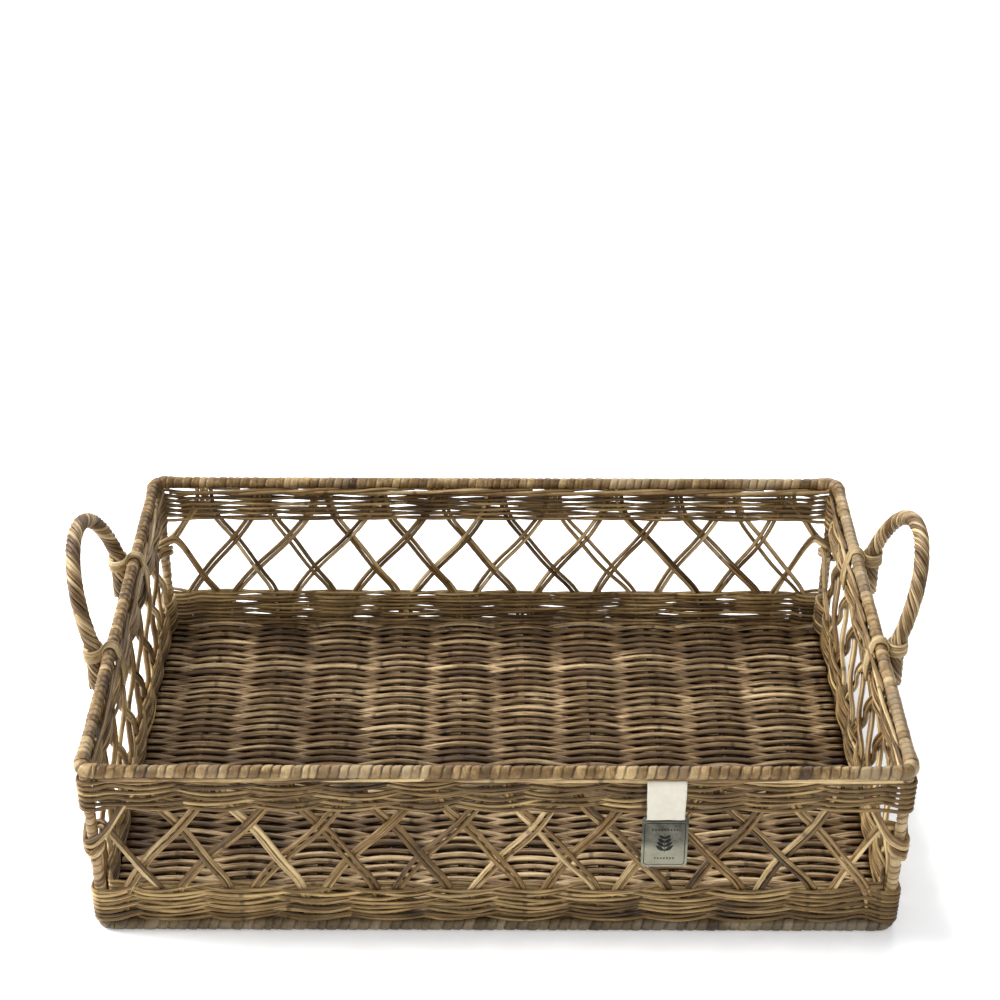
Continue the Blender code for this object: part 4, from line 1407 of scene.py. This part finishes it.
# ------------------------------------------------------------------ studio
@dataclass
class Studio:
    """A flat white floor, a soft sky with three soft boxes, and the camera."""

    floor_half: float = 9.0
    eye: tuple[float, float, float] = (-0.0058, -1.537, 1.1165)
    tilt_deg: float = 29.481
    yaw_deg: float = 0.2975
    roll_deg: float = 0.3233
    lens: float = 83.1
    sky: float = 0.34

    def build(self) -> None:
        """Builds the floor, the lights and the camera."""
        self._build_floor()
        self._build_lights()
        self._build_camera()
        bpy.context.scene.view_settings.view_transform = "Standard"

    def _build_floor(self) -> None:
        """A flat square under the tray."""
        h = self.floor_half
        mesh = bpy.data.meshes.new("floor")
        mesh.from_pydata([(-h, -h, 0), (h, -h, 0), (h, h, 0), (-h, h, 0)], [], [(0, 1, 2, 3)])
        mesh.materials.append(PaperFinish("paper", "").material())
        floor = bpy.data.objects.new("floor", mesh)
        bpy.context.scene.collection.objects.link(floor)

    def _build_lights(self) -> None:
        """A soft sky that looks white where it is seen, and three soft boxes."""
        world = bpy.data.worlds.new("studio")
        bpy.context.scene.world = world
        world.use_nodes = True
        tree = world.node_tree
        background = tree.nodes["Background"]
        background.inputs[0].default_value = (1.0, 1.0, 1.0, 1.0)
        seen = tree.nodes.new("ShaderNodeLightPath").outputs["Is Camera Ray"]
        strength = tree.nodes.new("ShaderNodeMapRange")
        strength.inputs[3].default_value = self.sky
        tree.links.new(seen, strength.inputs[0])
        tree.links.new(strength.outputs[0], background.inputs[1])
        boxes = (("key", (-2.3, 0.4, 1.65), 1.4, 150.0), ("back", (0.4, 2.2, 1.9), 1.6, 44.0),
                 ("front", (0.6, -2.5, 1.9), 2.2, 40.0))
        for name, place, size, power in boxes:
            light = bpy.data.lights.new(name, "AREA")
            light.shape = "SQUARE"
            light.size = size
            light.energy = power
            lamp = bpy.data.objects.new(name, light)
            away = np.array(place) / np.linalg.norm(place)
            side = np.cross(UP, away) / np.linalg.norm(np.cross(UP, away))
            turn = np.eye(4)
            turn[:3, 0], turn[:3, 1], turn[:3, 2] = side, np.cross(away, side), away
            turn[:3, 3] = place
            lamp.matrix_world = Matrix(turn.tolist())
            bpy.context.scene.collection.objects.link(lamp)

    def _build_camera(self) -> None:
        """Looks along its yaw, tilted down, with a trace of roll."""
        tilt, yaw, roll = (math.radians(a) for a in (self.tilt_deg, self.yaw_deg, self.roll_deg))
        ahead = np.array([math.sin(yaw) * math.cos(tilt), math.cos(yaw) * math.cos(tilt), -math.sin(tilt)])
        level = np.array([math.cos(yaw), -math.sin(yaw), 0.0])
        above = np.cross(level, ahead)
        turn = np.eye(4)
        turn[:3, 0] = level * math.cos(roll) + above * math.sin(roll)
        turn[:3, 1] = above * math.cos(roll) - level * math.sin(roll)
        turn[:3, 2] = -ahead
        turn[:3, 3] = self.eye
        data = bpy.data.cameras.new("camera")
        data.sensor_width = 36.0
        data.lens = self.lens
        camera = bpy.data.objects.new("camera", data)
        camera.matrix_world = Matrix(turn.tolist())
        bpy.context.scene.collection.objects.link(camera)
        bpy.context.scene.camera = camera


def band_rows() -> list[BandRow]:
    """The twined rows of both bands from the bottom to the top, two to a piece.

    Returns:
        Four pieces of the lower band and three of the upper one.
    """
    rows = []
    for band, heights, at_foot, seed in (("lower", 0.0106 + 0.0038 * np.arange(8), True, 30),
                                         ("upper", 0.1127 + 0.0047 * np.arange(6), False, 40)):
        for number, pair in enumerate(heights.reshape(-1, 2)):
            rows.append(BandRow("%s_band_canes_%d" % (band, number + 1),
                                "%s_band_row_%d" % (band, number + 1),
                                tuple(pair), at_foot, seed=seed + number))
    return rows


def main() -> None:
    """Builds every sub-assembly in turn."""
    logging.basicConfig(level=logging.INFO, format="%(message)s")
    Studio().build()
    BaseMat().build()
    for side in Side:
        LatticeWall(side).build()
        BorderCanes(side).build()
    for row in band_rows():
        row.build()
    corners = ("front_right", "back_right", "back_left", "front_left")
    WoundRing("rim", PEEL_RIM, half_x=0.2953, half_y=0.2103, height=0.1453,
              winding=Winding(radius=0.0047, pitch=0.0072), swell=0.0010,
              corner_nodes=tuple("rim_corner_" + c for c in corners)).build()
    WoundRing("foot", PEEL_FOOT_SHADED, half_x=0.2915, half_y=0.2065, height=0.0045,
              winding=Winding(radius=0.0045, pitch=0.0078), step=0.0009, seed=80).build()
    for label, sign_x, sign_y in (("front_left", -1.0, -1.0), ("front_right", 1.0, -1.0),
                                  ("back_left", -1.0, 1.0), ("back_right", 1.0, 1.0)):
        WoundPost(label, sign_x, sign_y).build()
    Handle("left", sign=-1.0, lean_deg=17.0, centre_y=0.012).build()
    Handle("right", sign=1.0, lean_deg=20.0, centre_y=0.022).build()
    NameTag().build()


if __name__ == "__main__":
    main()
